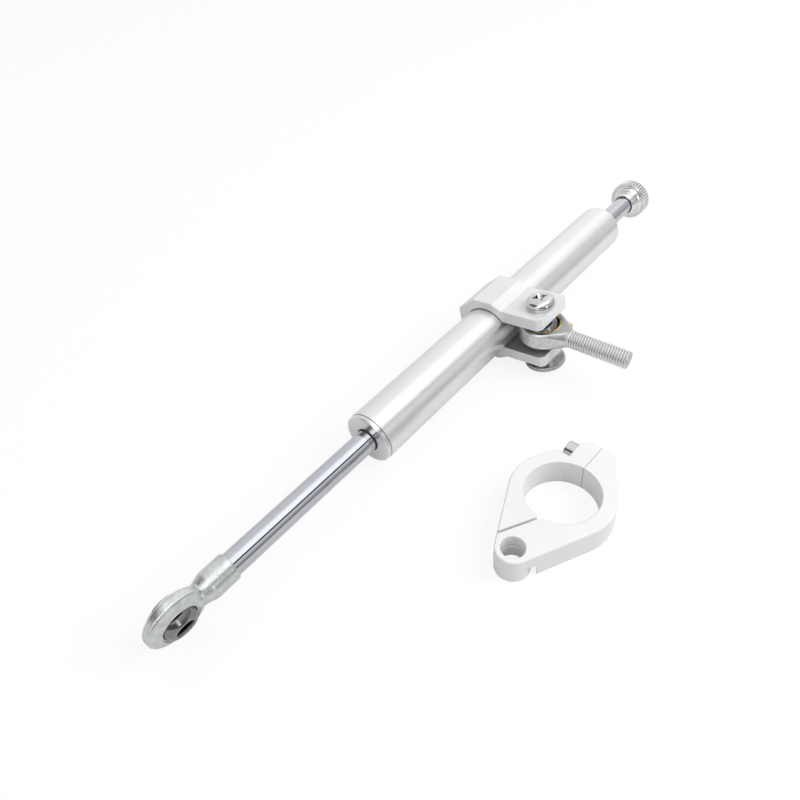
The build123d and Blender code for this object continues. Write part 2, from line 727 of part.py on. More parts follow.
def lug_outline():
    """Lugs on the seam side, with sides that leave the ring along its tangents."""
    corner = math.atan2(FORK_LUG_HALF, FORK_LUG_REACH)
    far = math.hypot(FORK_LUG_HALF, FORK_LUG_REACH)
    turn = math.pi - corner - math.acos(FORK_RADIUS / far)
    touch = (FORK_RADIUS * math.cos(turn), FORK_RADIUS * math.sin(turn))
    reach, half, cut = -FORK_LUG_REACH, FORK_LUG_HALF, FORK_LUG_CORNER
    return Polyline(
        touch,
        (reach + cut, half + cut * (touch[1] - half) / (touch[0] - reach)),
        (reach, half - cut),
        (reach, cut - half),
        (reach + cut, -half - cut * (touch[1] - half) / (touch[0] - reach)),
        (touch[0], -touch[1]),
        close=True,
    )


def slot_start():
    """Point on the bore's wall where the open slot begins."""
    return FORK_BORE, 0.0


def slot_place():
    """Place at the slot's start, with X out along the slot and Y across it."""
    return Pos(*slot_start(), 0) * Rot(0, 0, FORK_SLOT_TURN)


def cap_side():
    """Region that holds the cap half: one side of the seam and of the slot."""
    far = FORK_LUG_REACH + FORK_EAR_OFFSET
    start = slot_start()
    step = fork_direction(FORK_SLOT_TURN)
    region = Polyline(
        (-far, 0),
        (0, 0),
        start,
        (start[0] + far * step[0], start[1] + far * step[1]),
        (start[0], -far),
        (-far, -far),
        close=True,
    )
    return Pos(0, 0, -OVERRUN) * extrude(make_face(region), FORK_THICKNESS + 2 * OVERRUN)


def fork_blank():
    """Whole fork clamp before it is cut in two."""
    blank = extrude(fork_outline(), FORK_THICKNESS)
    ends = blank.faces().filter_by(Axis.Z).sort_by(Axis.Z)
    blank = chamfer(ends[-1].edges(), FORK_EDGE)
    ends = blank.faces().filter_by(Axis.Z).sort_by(Axis.Z)
    blank = chamfer(ends[0].edges(), FORK_LOWER_EDGE)
    blank -= rod_between(-OVERRUN, FORK_THICKNESS + OVERRUN, FORK_BORE)
    ear = Pos(FORK_EAR_OFFSET, 0, 0)
    blank -= rod_between(-OVERRUN, FORK_THICKNESS + OVERRUN, FORK_EAR_BORE, ear)
    groove_low = (FORK_THICKNESS - FORK_GROOVE_WIDTH) / 2
    groove_radius = FORK_EAR_BORE + FORK_GROOVE_DEPTH
    blank -= rod_between(groove_low, groove_low + FORK_GROOVE_WIDTH, groove_radius, ear)
    recess = rod_between(-OVERRUN, FORK_RECESS_DEPTH, FORK_RECESS_RADIUS, ear)
    blank -= recess - rod_between(-OVERRUN, FORK_RECESS_DEPTH, FORK_BOSS_RADIUS, ear)
    return blank - fork_cuts()


def fork_cuts():
    """Seam, open slot, the bolt head's seat and both bolt holes."""
    low, high = -OVERRUN, FORK_THICKNESS + OVERRUN
    half = FORK_SEAM / 2
    far = FORK_LUG_REACH + OVERRUN
    seam = box_between((-far, -half, low), (0, half, high))
    seat = box_between((-far, -FORK_RADIUS, low), (-FORK_SEAT_FROM, -FORK_SEAT_OFFSET, high))
    slot_half = FORK_SLOT / 2
    slot = box_between((-FORK_SLOT_MOUTH, -slot_half, low), (FORK_EAR_OFFSET, slot_half, high))
    mouth = rod_between(low, high, FORK_SLOT_MOUTH)
    cuts = [seam, seat, slot_place() * slot, slot_place() * mouth]
    for place, seat_offset in fork_bolt_places():
        cuts.append(rod_between(-FORK_RADIUS, -seat_offset, FORK_BOLT_HEAD_RADIUS + FREE_CLEARANCE, place))
        cuts.append(rod_between(-FORK_RADIUS, FORK_BOLT_GRIP, FORK_BOLT_RADIUS, place))
    return cuts


def fork_bolt_places():
    """Places of the two clamp bolts, with Z from the head towards the tip, and the head seats."""
    mid = FORK_THICKNESS / 2
    seam_bolt = Pos(-FORK_BOLT_OFFSET, 0, mid) * Rot(-90, 0, 0)
    along = FORK_SLOT_BOLT_ALONG - FORK_BORE
    slot_bolt = slot_place() * Pos(along, 0, mid) * Rot(-90, 0, 0)
    return [(seam_bolt, FORK_SEAT_OFFSET), (slot_bolt, FORK_SLOT_SEAT_OFFSET)]


def make_fork_bolt(place, seat_offset):
    """Socket-head screw."""
    top = -seat_offset - FORK_BOLT_HEAD
    screw = rod_between(top, -seat_offset, FORK_BOLT_HEAD_RADIUS, place)
    screw += rod_between(-seat_offset, FORK_BOLT_GRIP, FORK_BOLT_RADIUS, place)
    return screw - hexagon_between(top - OVERRUN, top + FORK_BOLT_HEX_DEPTH, 2 * FORK_BOLT_HEX, place)


def resting_angles():
    """Roll and pitch of the damper when its eye, its clamp's edge and its nut touch the floor."""
    nut_side = BOLT_OFFSET - NUT_COLLAR_RADIUS
    clamp_front = CLAMP_CENTRE - CLAMP_LENGTH / 2
    roll, pitch = 0.0, 0.0
    for _ in range(6):
        rise = NUT_BOTTOM - CLAMP_HALF_HEIGHT - math.tan(pitch) * (CLAMP_CENTRE - clamp_front)
        roll = math.atan(rise / (nut_side + CLAMP_TOP_FROM))
        clamp_drop = CLAMP_TOP_FROM * math.sin(roll) + CLAMP_HALF_HEIGHT * math.cos(roll)
        pitch = math.atan((clamp_drop - eye_drop(roll)) / (clamp_front - EYE_X))
    return roll, pitch


def eye_drop(roll):
    """How far the eye's rim reaches below the rod's axis at this roll."""
    lean = abs(math.sin(roll + math.radians(EYE_FACE_TURN)))
    return EYE_RADIUS * math.sqrt(1 - lean ** 2) + EYE_RIM_HALF * lean


def damper_place():
    """Lays the damper on the floor, beside the fork clamp that marks the origin."""
    roll, pitch = resting_angles()
    height = eye_drop(roll) - EYE_X * math.sin(pitch)
    turn = Rot(0, -math.degrees(pitch), 0) * Rot(-math.degrees(roll), 0, 0)
    return Pos(-FORK_AHEAD, FORK_ASIDE, height) * turn


def damper_nodes():
    """Every piece of the damper in its own frame."""
    eye_face, eye_ball = eye_place(EYE_FACE_TURN), eye_place(EYE_BALL_TURN)
    front_clip, rear_clip = rod_clip_starts()
    head = rod_end_place()
    return {
        "tube": make_tube(),
        "front_end_cap": make_front_cap(),
        "rear_end_cap": make_rear_cap(),
        "front_scraper": make_scraper(CAP_FACE, 1),
        "rear_scraper": make_scraper(REAR_CAP_FACE, -1),
        "front_rod_seal": make_rod_seal(CAP_FACE, 1),
        "rear_rod_seal": make_rod_seal(REAR_CAP_FACE, -1),
        "front_guide_bush": make_bush(CAP_FACE, 1),
        "rear_guide_bush": make_bush(REAR_CAP_FACE, -1),
        "front_cap_oring": make_cap_oring(CAP_FACE, 1),
        "rear_cap_oring": make_cap_oring(REAR_CAP_FACE, -1),
        "rear_retaining_ring": make_retaining_ring(),
        "piston_rod": make_rod(),
        "piston": make_piston(),
        "piston_band": make_piston_band(),
        "piston_clip_front": make_piston_clip(front_clip),
        "piston_clip_rear": make_piston_clip(rear_clip),
        "knob_snap_ring": make_snap_ring(),
        "rod_eye": make_rod_eye(),
        "rod_eye_race": make_race(eye_face, EYE_RACE_SEAT),
        "rod_eye_ball": make_ball(eye_ball),
        "adjuster_knob": make_knob(),
        "adjuster_spindle": make_spindle(),
        "knob_screw": make_knob_screw(),
        "detent_ball": make_detent_ball(),
        "detent_spring": make_detent_spring(),
        "body_clamp": make_body_clamp(),
        "clamp_bolt": make_clamp_bolt(),
        "clamp_nut": make_clamp_nut(),
        "spacer_upper": make_spacer(1),
        "spacer_lower": make_spacer(-1),
        "rod_end_ball": make_ball(bolt_place()),
        "rod_end_housing": make_rod_end_housing(),
        "rod_end_race": make_race(head, HEAD_RACE_SEAT),
        "grease_nipple": make_grease_nipple(),
    }


def fork_nodes():
    """Every piece of the fork clamp in its own frame."""
    blank = fork_blank()
    bolts = [make_fork_bolt(place, seat) for place, seat in fork_bolt_places()]
    return {
        "fork_clamp_body": blank - cap_side(),
        "fork_clamp_cap": blank & cap_side(),
        "fork_clamp_bolts": Compound(bolts),
    }


def main():
    """Builds every node in the row frame and writes one STEP file for each."""
    damper_at = damper_place()
    fork_at = Rot(0, 0, FORK_TURN)
    nodes = {name: damper_at * shape for name, shape in damper_nodes().items()}
    nodes.update({name: fork_at * shape for name, shape in fork_nodes().items()})
    for name, shape in nodes.items():
        export_step(shape, f"parts/{name}.step")


main()
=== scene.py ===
import json
import math

import bmesh
import bpy
from mathutils import Matrix, Vector


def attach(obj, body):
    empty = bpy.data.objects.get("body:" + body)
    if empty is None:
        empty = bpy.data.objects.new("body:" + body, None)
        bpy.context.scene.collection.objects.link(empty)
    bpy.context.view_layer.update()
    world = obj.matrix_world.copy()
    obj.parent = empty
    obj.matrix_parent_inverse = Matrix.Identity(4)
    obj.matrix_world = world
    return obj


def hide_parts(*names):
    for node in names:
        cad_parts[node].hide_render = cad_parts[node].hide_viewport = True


# Looks of a steering damper and its loose fork clamp, lying on a white surface.
# Sizes are in millimetres and turned into metres by MM. Places come from the frame.
# "Along" is a distance on a place's X axis, and a radius is taken round that axis.

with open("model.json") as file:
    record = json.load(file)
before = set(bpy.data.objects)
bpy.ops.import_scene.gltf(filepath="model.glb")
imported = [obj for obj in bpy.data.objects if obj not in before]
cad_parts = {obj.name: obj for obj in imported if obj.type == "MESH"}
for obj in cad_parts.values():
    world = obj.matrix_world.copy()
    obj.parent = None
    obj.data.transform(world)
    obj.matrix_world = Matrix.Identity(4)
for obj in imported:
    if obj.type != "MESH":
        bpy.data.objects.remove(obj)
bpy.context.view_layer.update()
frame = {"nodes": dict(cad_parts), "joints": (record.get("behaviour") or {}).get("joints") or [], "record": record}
MM = 0.001

# Camera, measured from the photograph
CAMERA_AT = (-153.97, -71.35, 224.55)
CAMERA_LOOKS_AT = (10.76, 92.75, 0.0)
CAMERA_ROLL = -6.481
CAMERA_CLIP = (0.01, 50.0)
PHOTO_WIDTH = 800
FOCAL_PIXELS = 683.0
SENSOR_WIDTH = 36.0

# Damper, along from the tube's near end
KNOB_FACE = 220.0
ROD_RADIUS = 5.0
EYE_FACE_TURN = -19.0

# Places


def joint(name):
    """A joint of the frame by its name."""
    return next(j for j in frame["joints"] if j["name"] == name)


def mount(name):
    """A mount of the record by its name."""
    return next(m for m in frame["record"]["mounts"] if m["name"] == name)


def place_of(origin, x_axis, z_axis):
    """Matrix of a place, in metres, from its origin and two of its axes."""
    z = Vector(z_axis).normalized()
    y = z.cross(Vector(x_axis)).normalized()
    x = y.cross(z)
    turn = Matrix((x, y, z)).transposed().to_4x4()
    return Matrix.Translation(Vector(origin)) @ turn


def turned_out(place, direction):
    """A direction given in a place's own axes, in the scene's axes."""
    return place.to_3x3() @ Vector(direction)


def rod_end_place():
    """Place at the male rod end's ball, with X along its stud and Z along its bore."""
    stud = Vector(mount("rod_end_stud")["axis"])
    tilt = Vector(joint("rod_end_tilt")["axis"])
    return place_of(joint("rod_end_tilt")["pos_m"], stud, tilt.cross(stud))


def eye_place():
    """Place at the rod eye's centre, with X along the rod and Z square to the eye's face."""
    turn = math.radians(EYE_FACE_TURN)
    side, up = turned_out(DAMPER, (0, -1, 0)), turned_out(DAMPER, (0, 0, 1))
    square = side * math.cos(turn) + up * math.sin(turn)
    return place_of(joint("rod_eye_ball_tilt")["pos_m"], ALONG, square)


ALONG = Vector(joint("rod_slide")["axis"])
SWING = joint("rod_end_swing")
DAMPER = place_of(Vector(joint("knob_turn")["pos_m"]) - ALONG * KNOB_FACE * MM, ALONG, SWING["axis"])
BOLT = place_of(SWING["pos_m"], ALONG, SWING["axis"])
ROD_END = rod_end_place()
EYE = eye_place()
EYE_BORE = place_of(mount("rod_eye_bore")["pos_m"], ALONG, mount("rod_eye_bore")["axis"])
FORK = Matrix.Identity(4)

# Mesh tools
ARC_STEPS = 4
ON_AXIS = 1e-6
SOFTEN_SHARE = 0.5


def new_piece(name, mesh, body, material, place):
    """Object in the scene from a mesh in millimetres in a place's axes, riding on a body."""
    mesh.transform(place @ Matrix.Scale(MM, 4))
    piece = bpy.data.objects.new(name, mesh)
    bpy.context.scene.collection.objects.link(piece)
    if material:
        mesh.materials.append(material)
    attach(piece, body)
    return piece


def smooth(mesh, angle=35.0):
    """Smooth shading with sharp edges kept above an angle."""
    for face in mesh.polygons:
        face.use_smooth = True
    mesh.set_sharp_from_angle(angle=math.radians(angle))
    return mesh


def rounded(corners):
    """Outline with arcs at its corners. A corner is (along, radius) or (along, radius, rounding)."""
    points = []
    for index, corner in enumerate(corners):
        here = Vector(corner[:2])
        rounding = corner[2] if len(corner) > 2 else 0.0
        if not rounding or index in (0, len(corners) - 1):
            points.append(here)
            continue
        before = (Vector(corners[index - 1][:2]) - here).normalized()
        after = (Vector(corners[index + 1][:2]) - here).normalized()
        half = before.angle(after) / 2
        reach = rounding / math.tan(half)
        start, end = here + before * reach, here + after * reach
        centre = here + (before + after).normalized() * (rounding / math.sin(half))
        for step in range(ARC_STEPS + 1):
            mix = start.lerp(end, step / ARC_STEPS) - centre
            points.append(centre + mix.normalized() * rounding)
    return points


def about_x(along, radius, angle):
    """Point at an angle about X."""
    return along, radius * math.cos(angle), radius * math.sin(angle)


def bridge(bm, first, second):
    """Faces between two closed rings, of which one may be a single point."""
    sides = max(len(first), len(second))
    for side in range(sides):
        after = (side + 1) % sides
        if len(first) == 1:
            bm.faces.new((first[0], second[after], second[side]))
        elif len(second) == 1:
            bm.faces.new((first[side], first[after], second[0]))
        else:
            bm.faces.new((first[side], first[after], second[after], second[side]))


def finished(bm, name):
    """Mesh from a bmesh, with its normals pointing out."""
    bmesh.ops.recalc_face_normals(bm, faces=bm.faces)
    mesh = bpy.data.meshes.new(name)
    bm.to_mesh(mesh)
    bm.free()
    return mesh


def lathe(points, sides=128, radius_at=None, closed=False):
    """Mesh turned about X from (along, radius) points. radius_at changes a radius by its angle."""
    bm = bmesh.new()
    rings = []
    for along, radius in points:
        if radius < ON_AXIS:
            rings.append([bm.verts.new((along, 0, 0))])
            continue
        ring = []
        for side in range(sides):
            angle = 2 * math.pi * side / sides
            reach = radius_at(radius, angle) if radius_at else radius
            ring.append(bm.verts.new(about_x(along, reach, angle)))
        rings.append(ring)
    for first, second in zip(rings, rings[1:]):
        bridge(bm, first, second)
    if closed:
        bridge(bm, rings[-1], rings[0])
    return finished(bm, "turned")


def cylinder(start, end, radius, sides=128):
    """Solid cylinder about X."""
    return lathe([(start, 0), (start, radius), (end, radius), (end, 0)], sides)


def ring_between(start, end, inner, outer):
    """Plain ring about X."""
    outline = [(start, inner), (start, outer), (end, outer), (end, inner)]
    return smooth(lathe(outline, sides=96, closed=True))


def arc(along, reach, start, end, steps=40):
    """Part of a ring about X, between two angles in degrees."""
    bm = bmesh.new()
    rings = []
    for step in range(steps + 1):
        angle = math.radians(start + (end - start) * step / steps)
        corners = ((along[0], reach[0]), (along[0], reach[1]), (along[1], reach[1]), (along[1], reach[0]))
        rings.append([bm.verts.new(about_x(x, radius, angle)) for x, radius in corners])
    for first, second in zip(rings, rings[1:]):
        bridge(bm, first, second)
    bm.faces.new(rings[0])
    bm.faces.new(rings[-1])
    return finished(bm, "arc")


def hull(points):
    """Convex mesh round points."""
    bm = bmesh.new()
    for point in points:
        bm.verts.new(point)
    made = bmesh.ops.convex_hull(bm, input=bm.verts)
    bmesh.ops.delete(bm, geom=made["geom_interior"], context="VERTS")
    return finished(bm, "hull")


def stood(mesh):
    """The same mesh with its turning axis on Z in place of X."""
    mesh.transform(Matrix(((0, 0, -1, 0), (0, 1, 0, 0), (1, 0, 0, 0), (0, 0, 0, 1))))
    return mesh


def scratch_object(mesh):
    """Object for a modifier to work on, removed later."""
    holder = bpy.data.objects.new("scratch", mesh)
    bpy.context.scene.collection.objects.link(holder)
    return holder


def applied(holder):
    """Mesh with the object's modifiers applied. The object is removed."""
    graph = bpy.context.evaluated_depsgraph_get()
    mesh = bpy.data.meshes.new_from_object(holder.evaluated_get(graph))
    bpy.data.objects.remove(holder)
    return mesh


def joined(meshes):
    """One mesh from several."""
    bm = bmesh.new()
    for mesh in meshes:
        bm.from_mesh(mesh)
    whole = bpy.data.meshes.new("joined")
    bm.to_mesh(whole)
    bm.free()
    return whole


def forged(meshes, voxel, rounds):
    """Closed meshes fused into one, with corners softened by rounds of smoothing."""
    holder = scratch_object(joined(meshes))
    fuse = holder.modifiers.new("fuse", "REMESH")
    fuse.mode = "VOXEL"
    fuse.voxel_size = voxel
    soften = holder.modifiers.new("soften", "SMOOTH")
    soften.iterations = rounds
    soften.factor = SOFTEN_SHARE
    return applied(holder)


def cut(mesh, tools):
    """The mesh less the space of each tool mesh."""
    holder = scratch_object(mesh)
    others = [scratch_object(tool) for tool in tools]
    for other in others:
        less = holder.modifiers.new("less", "BOOLEAN")
        less.operation = "DIFFERENCE"
        less.solver = "EXACT"
        less.object = other
    result = applied(holder)
    for other in others:
        bpy.data.objects.remove(other)
    return result


# Nodes. Nearly all of a noise's values lie from NOISE_LOW to NOISE_HIGH. A face is square to a direction
# when the cosine between them is over SQUARE_TO, and isn't when it is under SQUARE_FROM
NOISE_LOW = 0.3
NOISE_HIGH = 0.7
SQUARE_FROM = 0.8
SQUARE_TO = 0.95
BEVEL_SAMPLES = 6


def vector_maths(tree, operation, vector, constant=None):
    """Outputs of a sum on a vector and, for some sums, a constant vector."""
    node = tree.nodes.new("ShaderNodeVectorMath")
    node.operation = operation
    tree.links.new(vector, node.inputs[0])
    if constant is not None:
        node.inputs[1].default_value = constant
    return node.outputs


def along_place(tree, place, stretch=(1, 1, 1)):
    """Coordinates in millimetres in a place's own axes, stretched along them."""
    source = tree.nodes.new("ShaderNodeTexCoord")
    mapping = tree.nodes.new("ShaderNodeMapping")
    mapping.vector_type = "POINT"
    back = place.inverted()
    mapping.inputs["Location"].default_value = back.translation / MM
    mapping.inputs["Rotation"].default_value = back.to_euler()
    mapping.inputs["Scale"].default_value = (1 / MM, 1 / MM, 1 / MM)
    tree.links.new(source.outputs["Object"], mapping.inputs["Vector"])
    return vector_maths(tree, "MULTIPLY", mapping.outputs["Vector"], stretch)["Vector"]


def maths(tree, operation, *values):
    """Result of a sum on up to three values, each a socket or a number."""
    node = tree.nodes.new("ShaderNodeMath")
    node.operation = operation
    for value, socket in zip(values, node.inputs):
        if isinstance(value, float):
            socket.default_value = value
        else:
            tree.links.new(value, socket)
    return node.outputs["Value"]


def axes_of(tree, vector):
    """Outputs X, Y and Z of a vector."""
    node = tree.nodes.new("ShaderNodeSeparateXYZ")
    tree.links.new(vector, node.inputs["Vector"])
    return node.outputs


def noise(tree, vector, scale, detail=3.0, rough=0.55):
    """Noise texture's value."""
    node = tree.nodes.new("ShaderNodeTexNoise")
    node.inputs["Scale"].default_value = scale
    node.inputs["Detail"].default_value = detail
    node.inputs["Roughness"].default_value = rough
    tree.links.new(vector, node.inputs["Vector"])
    return node.outputs["Fac"]


def ranged(tree, value, span, to_span=(0.0, 1.0), kind="LINEAR"):
    """Value moved from one span to another and kept inside it."""
    node = tree.nodes.new("ShaderNodeMapRange")
    node.interpolation_type = kind
    node.inputs["From Min"].default_value, node.inputs["From Max"].default_value = span
    node.inputs["To Min"].default_value, node.inputs["To Max"].default_value = to_span
    tree.links.new(value, node.inputs["Value"])
    return node.outputs["Result"]


def spread(tree, value, low, high):
    """Noise spread between two values."""
    return ranged(tree, value, (NOISE_LOW, NOISE_HIGH), (low, high))


def step_of(tree, value, low, high):
    """Smooth step from 0 to 1 between two values."""
    return ranged(tree, value, (low, high), kind="SMOOTHSTEP")


def window(tree, value, low, high, soft):
    """1 between two values, 0 beyond them."""
    above = step_of(tree, value, low - soft, low + soft)
    below = step_of(tree, value, high + soft, high - soft)
    return maths(tree, "MULTIPLY", above, below)


def facing(tree, direction):
    """1 on faces square to a direction, 0 on the others."""
    geometry = tree.nodes.new("ShaderNodeNewGeometry")
    share = vector_maths(tree, "DOT_PRODUCT", geometry.outputs["Normal"], direction)["Value"]
    return step_of(tree, maths(tree, "ABSOLUTE", share), SQUARE_FROM, SQUARE_TO)


def ramped(tree, value, stops):
    """Colour that follows a value through (position, colour) stops."""
    node = tree.nodes.new("ShaderNodeValToRGB")
    elements = node.color_ramp.elements
    while len(elements) < len(stops):
        elements.new(0.5)
    for element, (position, colour) in zip(elements, stops):
        element.position = position
        element.color = (*colour, 1)
    tree.links.new(value, node.inputs["Fac"])
    return node.outputs["Color"]


def tinted(tree, value, first, second):
    """Colour that runs from one to another with a noise."""
    return ramped(tree, value, [(NOISE_LOW, first), (NOISE_HIGH, second)])


def mixed(tree, factor, first, second):
    """Colour mixed from two others, each a socket or a grey."""
    node = tree.nodes.new("ShaderNodeMix")
    node.data_type = "RGBA"
    tree.links.new(factor, node.inputs["Factor"])
    for colour, socket in ((first, node.inputs["A"]), (second, node.inputs["B"])):
        if isinstance(colour, float):
            socket.default_value = (colour, colour, colour, 1)
        else:
            tree.links.new(colour, socket)
    return node.outputs["Result"]


def mixed_shaders(tree, factor, first, second):
    """Shader mixed from two others. The factor is a socket or a number."""
    node = tree.nodes.new("ShaderNodeMixShader")
    if isinstance(factor, float):
        node.inputs["Fac"].default_value = factor
    else:
        tree.links.new(factor, node.inputs["Fac"])
    tree.links.new(first, node.inputs[1])
    tree.links.new(second, node.inputs[2])
    return node.outputs["Shader"]


def bumped(tree, principled, value, depth, edge=0.0):
    """Bump of a depth in millimetres, over edges softened to a radius in millimetres."""
    bump = tree.nodes.new("ShaderNodeBump")
    bump.inputs["Distance"].default_value = depth * MM
    tree.links.new(value, bump.inputs["Height"])
    if edge:
        bevel = tree.nodes.new("ShaderNodeBevel")
        bevel.samples = BEVEL_SAMPLES
        bevel.inputs["Radius"].default_value = edge * MM
        tree.links.new(bevel.outputs["Normal"], bump.inputs["Normal"])
    tree.links.new(bump.outputs["Normal"], principled.inputs["Normal"])


# Materials. TURNED, MILLED and EVEN stretch a grain along its place's axes
TURNED = (14.0, 0.25, 0.25)
MILLED = (0.35, 3.0, 3.0)
EVEN = (1.5, 1.5, 1.5)
ROD_END_UP = turned_out(ROD_END, (0, 0, 1))
EAR_INNER = 7.5
BALL_BORE = 4.0
BALL_HALF = 6.0
# Painted shade and painted light on the wall of the ball's bore
BORE_PAINTED_SHADE = 0.01
BORE_PAINTED_LIGHT = 0.62
BORE_ROUGH = 0.6


def shader(name, base, metallic, roughness):
    """Material with a principled shader, and its node tree."""
    material = bpy.data.materials.new(name)
    material.use_nodes = True
    principled = material.node_tree.nodes["Principled BSDF"]
    principled.inputs["Base Color"].default_value = (*base, 1)
    principled.inputs["Metallic"].default_value = metallic
    principled.inputs["Roughness"].default_value = roughness
    return material, material.node_tree, principled


def shader_of(material):
    """A material's node tree, its principled shader and the socket that gives its colour."""
    principled = material.node_tree.nodes["Principled BSDF"]
    return material.node_tree, principled, principled.inputs["Base Color"].links[0].from_socket


def dimmed(base, share):
    """A colour times a number."""
    return tuple(value * share for value in base)


def satin(name, base, rough, metallic, place, stretch, edge, grain=0.004):
    """Anodised or plated metal with a fine grain that follows how it was cut."""
    material, tree, principled = shader(name, base, metallic, rough)
    lines = noise(tree, along_place(tree, place, stretch), scale=1.0, detail=4.0)
    broad = noise(tree, along_place(tree, place), scale=0.06, detail=2.0)
    roughness = spread(tree, lines, low=rough * 0.9, high=rough * 1.12)
    tree.links.new(roughness, principled.inputs["Roughness"])
    tree.links.new(tinted(tree, broad, dimmed(base, 0.965), base), principled.inputs["Base Color"])
    bumped(tree, principled, lines, grain, edge)
    return material


def forging(name, base, dark, rough, place, face=None, shaded_face_grey=None):
    """Zinc plated forging: pitted skin with duller patches. Faces square to face get painted shade, a darker grey.
    """
    material, tree, principled = shader(name, base, 1.0, rough)
    inside = along_place(tree, place)
    patches = noise(tree, inside, scale=0.45, detail=4.0, rough=0.6)
    pits = noise(tree, inside, scale=1.7, detail=5.0, rough=0.65)
    colour = tinted(tree, patches, dark, base)
    # Painted shade on the faces square to face.
    if face:
        colour = mixed(tree, facing(tree, face), colour, shaded_face_grey)
    tree.links.new(colour, principled.inputs["Base Color"])
    roughness = spread(tree, patches, low=rough * 1.15, high=rough * 0.85)
    tree.links.new(roughness, principled.inputs["Roughness"])
    bumped(tree, principled, pits, depth=0.07)
    return material


def clamp_finish(name, base, rough, metallic, ear_shade_grey):
    """Milled and anodised clamp, with painted shade, a darker grey, on the inner faces of its ears."""
    material = satin(name, base, rough, metallic, DAMPER, MILLED, edge=0.2)
    tree, principled, colour = shader_of(material)
    # Painted shade: the ears' inner faces, square to the bolt, take a darker grey.
    height = maths(tree, "ABSOLUTE", axes_of(tree, along_place(tree, BOLT))["Z"])
    level = window(tree, height, EAR_INNER - 0.3, EAR_INNER + 0.3, soft=0.1)
    inner = maths(tree, "MULTIPLY", level, facing(tree, turned_out(BOLT, (0, 0, 1))))
    tree.links.new(mixed(tree, inner, colour, ear_shade_grey), principled.inputs["Base Color"])
    return material


def polished(name, base, rough, place, edge=0.0):
    """Polished metal with faint smears."""
    material, tree, principled = shader(name, base, 1.0, rough)
    smears = noise(tree, along_place(tree, place), scale=0.5)
    roughness = spread(tree, smears, low=rough * 0.6, high=rough * 1.6)
    tree.links.new(roughness, principled.inputs["Roughness"])
    tree.links.new(tinted(tree, smears, dimmed(base, 0.94), base), principled.inputs["Base Color"])
    bumped(tree, principled, smears, 0.001, edge)
    return material


def groove_shaded(name, base, groove, rough, place, low, high):
    """Plated metal about X with painted shade: darker down in its grooves, from radius low to high."""
    material, tree, principled = shader(name, base, 1.0, rough)
    # Painted shade: the colour runs to the groove grey at radius low, deep in the grooves.
    radius = vector_maths(tree, "LENGTH", along_place(tree, place, (0, 1, 1)))["Value"]
    height = ranged(tree, radius, (low, high))
    tree.links.new(tinted(tree, height, groove, base), principled.inputs["Base Color"])
    smears = noise(tree, along_place(tree, place), scale=0.7)
    roughness = spread(tree, smears, low=rough * 0.8, high=rough * 1.3)
    tree.links.new(roughness, principled.inputs["Roughness"])
    return material


def faced(name, base, rough, face_rough, place):
    """Metal turned about X, with finer end faces and the streaks that turning leaves in highlights."""
    material, tree, principled = shader(name, base, 1.0, rough)
    principled.inputs["Anisotropic"].default_value = 0.9
    principled.inputs["Anisotropic Rotation"].default_value = 0.25
    tangent = tree.nodes.new("ShaderNodeTangent")
    tangent.direction_type = "RADIAL"
    tangent.axis = "X"
    tree.links.new(tangent.outputs["Tangent"], principled.inputs["Tangent"])
    ends = facing(tree, turned_out(place, (1, 0, 0)))
    roughness = ranged(tree, ends, (0.0, 1.0), (rough, face_rough))
    tree.links.new(roughness, principled.inputs["Roughness"])
    return material


def ball_finish(name, base, rough, bore):
    """Polished ball whose bore wall is painted: a plainer, lighter grey at its mouth as painted light, and near
    black further in as painted shade.
    """
    material = polished(name, base, rough, bore)
    tree, principled, colour = shader_of(material)
    # Painted light at the bore's mouth and painted shade deeper in.
    radius = vector_maths(tree, "LENGTH", along_place(tree, bore, (1, 1, 0)))["Value"]
    wall = step_of(tree, radius, BALL_BORE + 0.3, BALL_BORE + 0.1)
    height = maths(tree, "ABSOLUTE", axes_of(tree, along_place(tree, bore))["Z"])
    mouth = step_of(tree, height, BALL_HALF - 1.3, BALL_HALF - 0.5)
    inside = mixed(tree, mouth, BORE_PAINTED_SHADE, BORE_PAINTED_LIGHT)
    tree.links.new(mixed(tree, wall, colour, inside), principled.inputs["Base Color"])
    roughness = ranged(tree, wall, (0.0, 1.0), (rough, BORE_ROUGH))
    tree.links.new(roughness, principled.inputs["Roughness"])
    return material


def rubbery(name, base, rough):
    """Rubber or plastic with a fine grain."""
    material, tree, principled = shader(name, base, 0.0, rough)
    grain = noise(tree, along_place(tree, DAMPER), scale=5.0)
    tree.links.new(tinted(tree, grain, base, dimmed(base, 1.5)), principled.inputs["Base Color"])
    bumped(tree, principled, grain, depth=0.01)
    return material


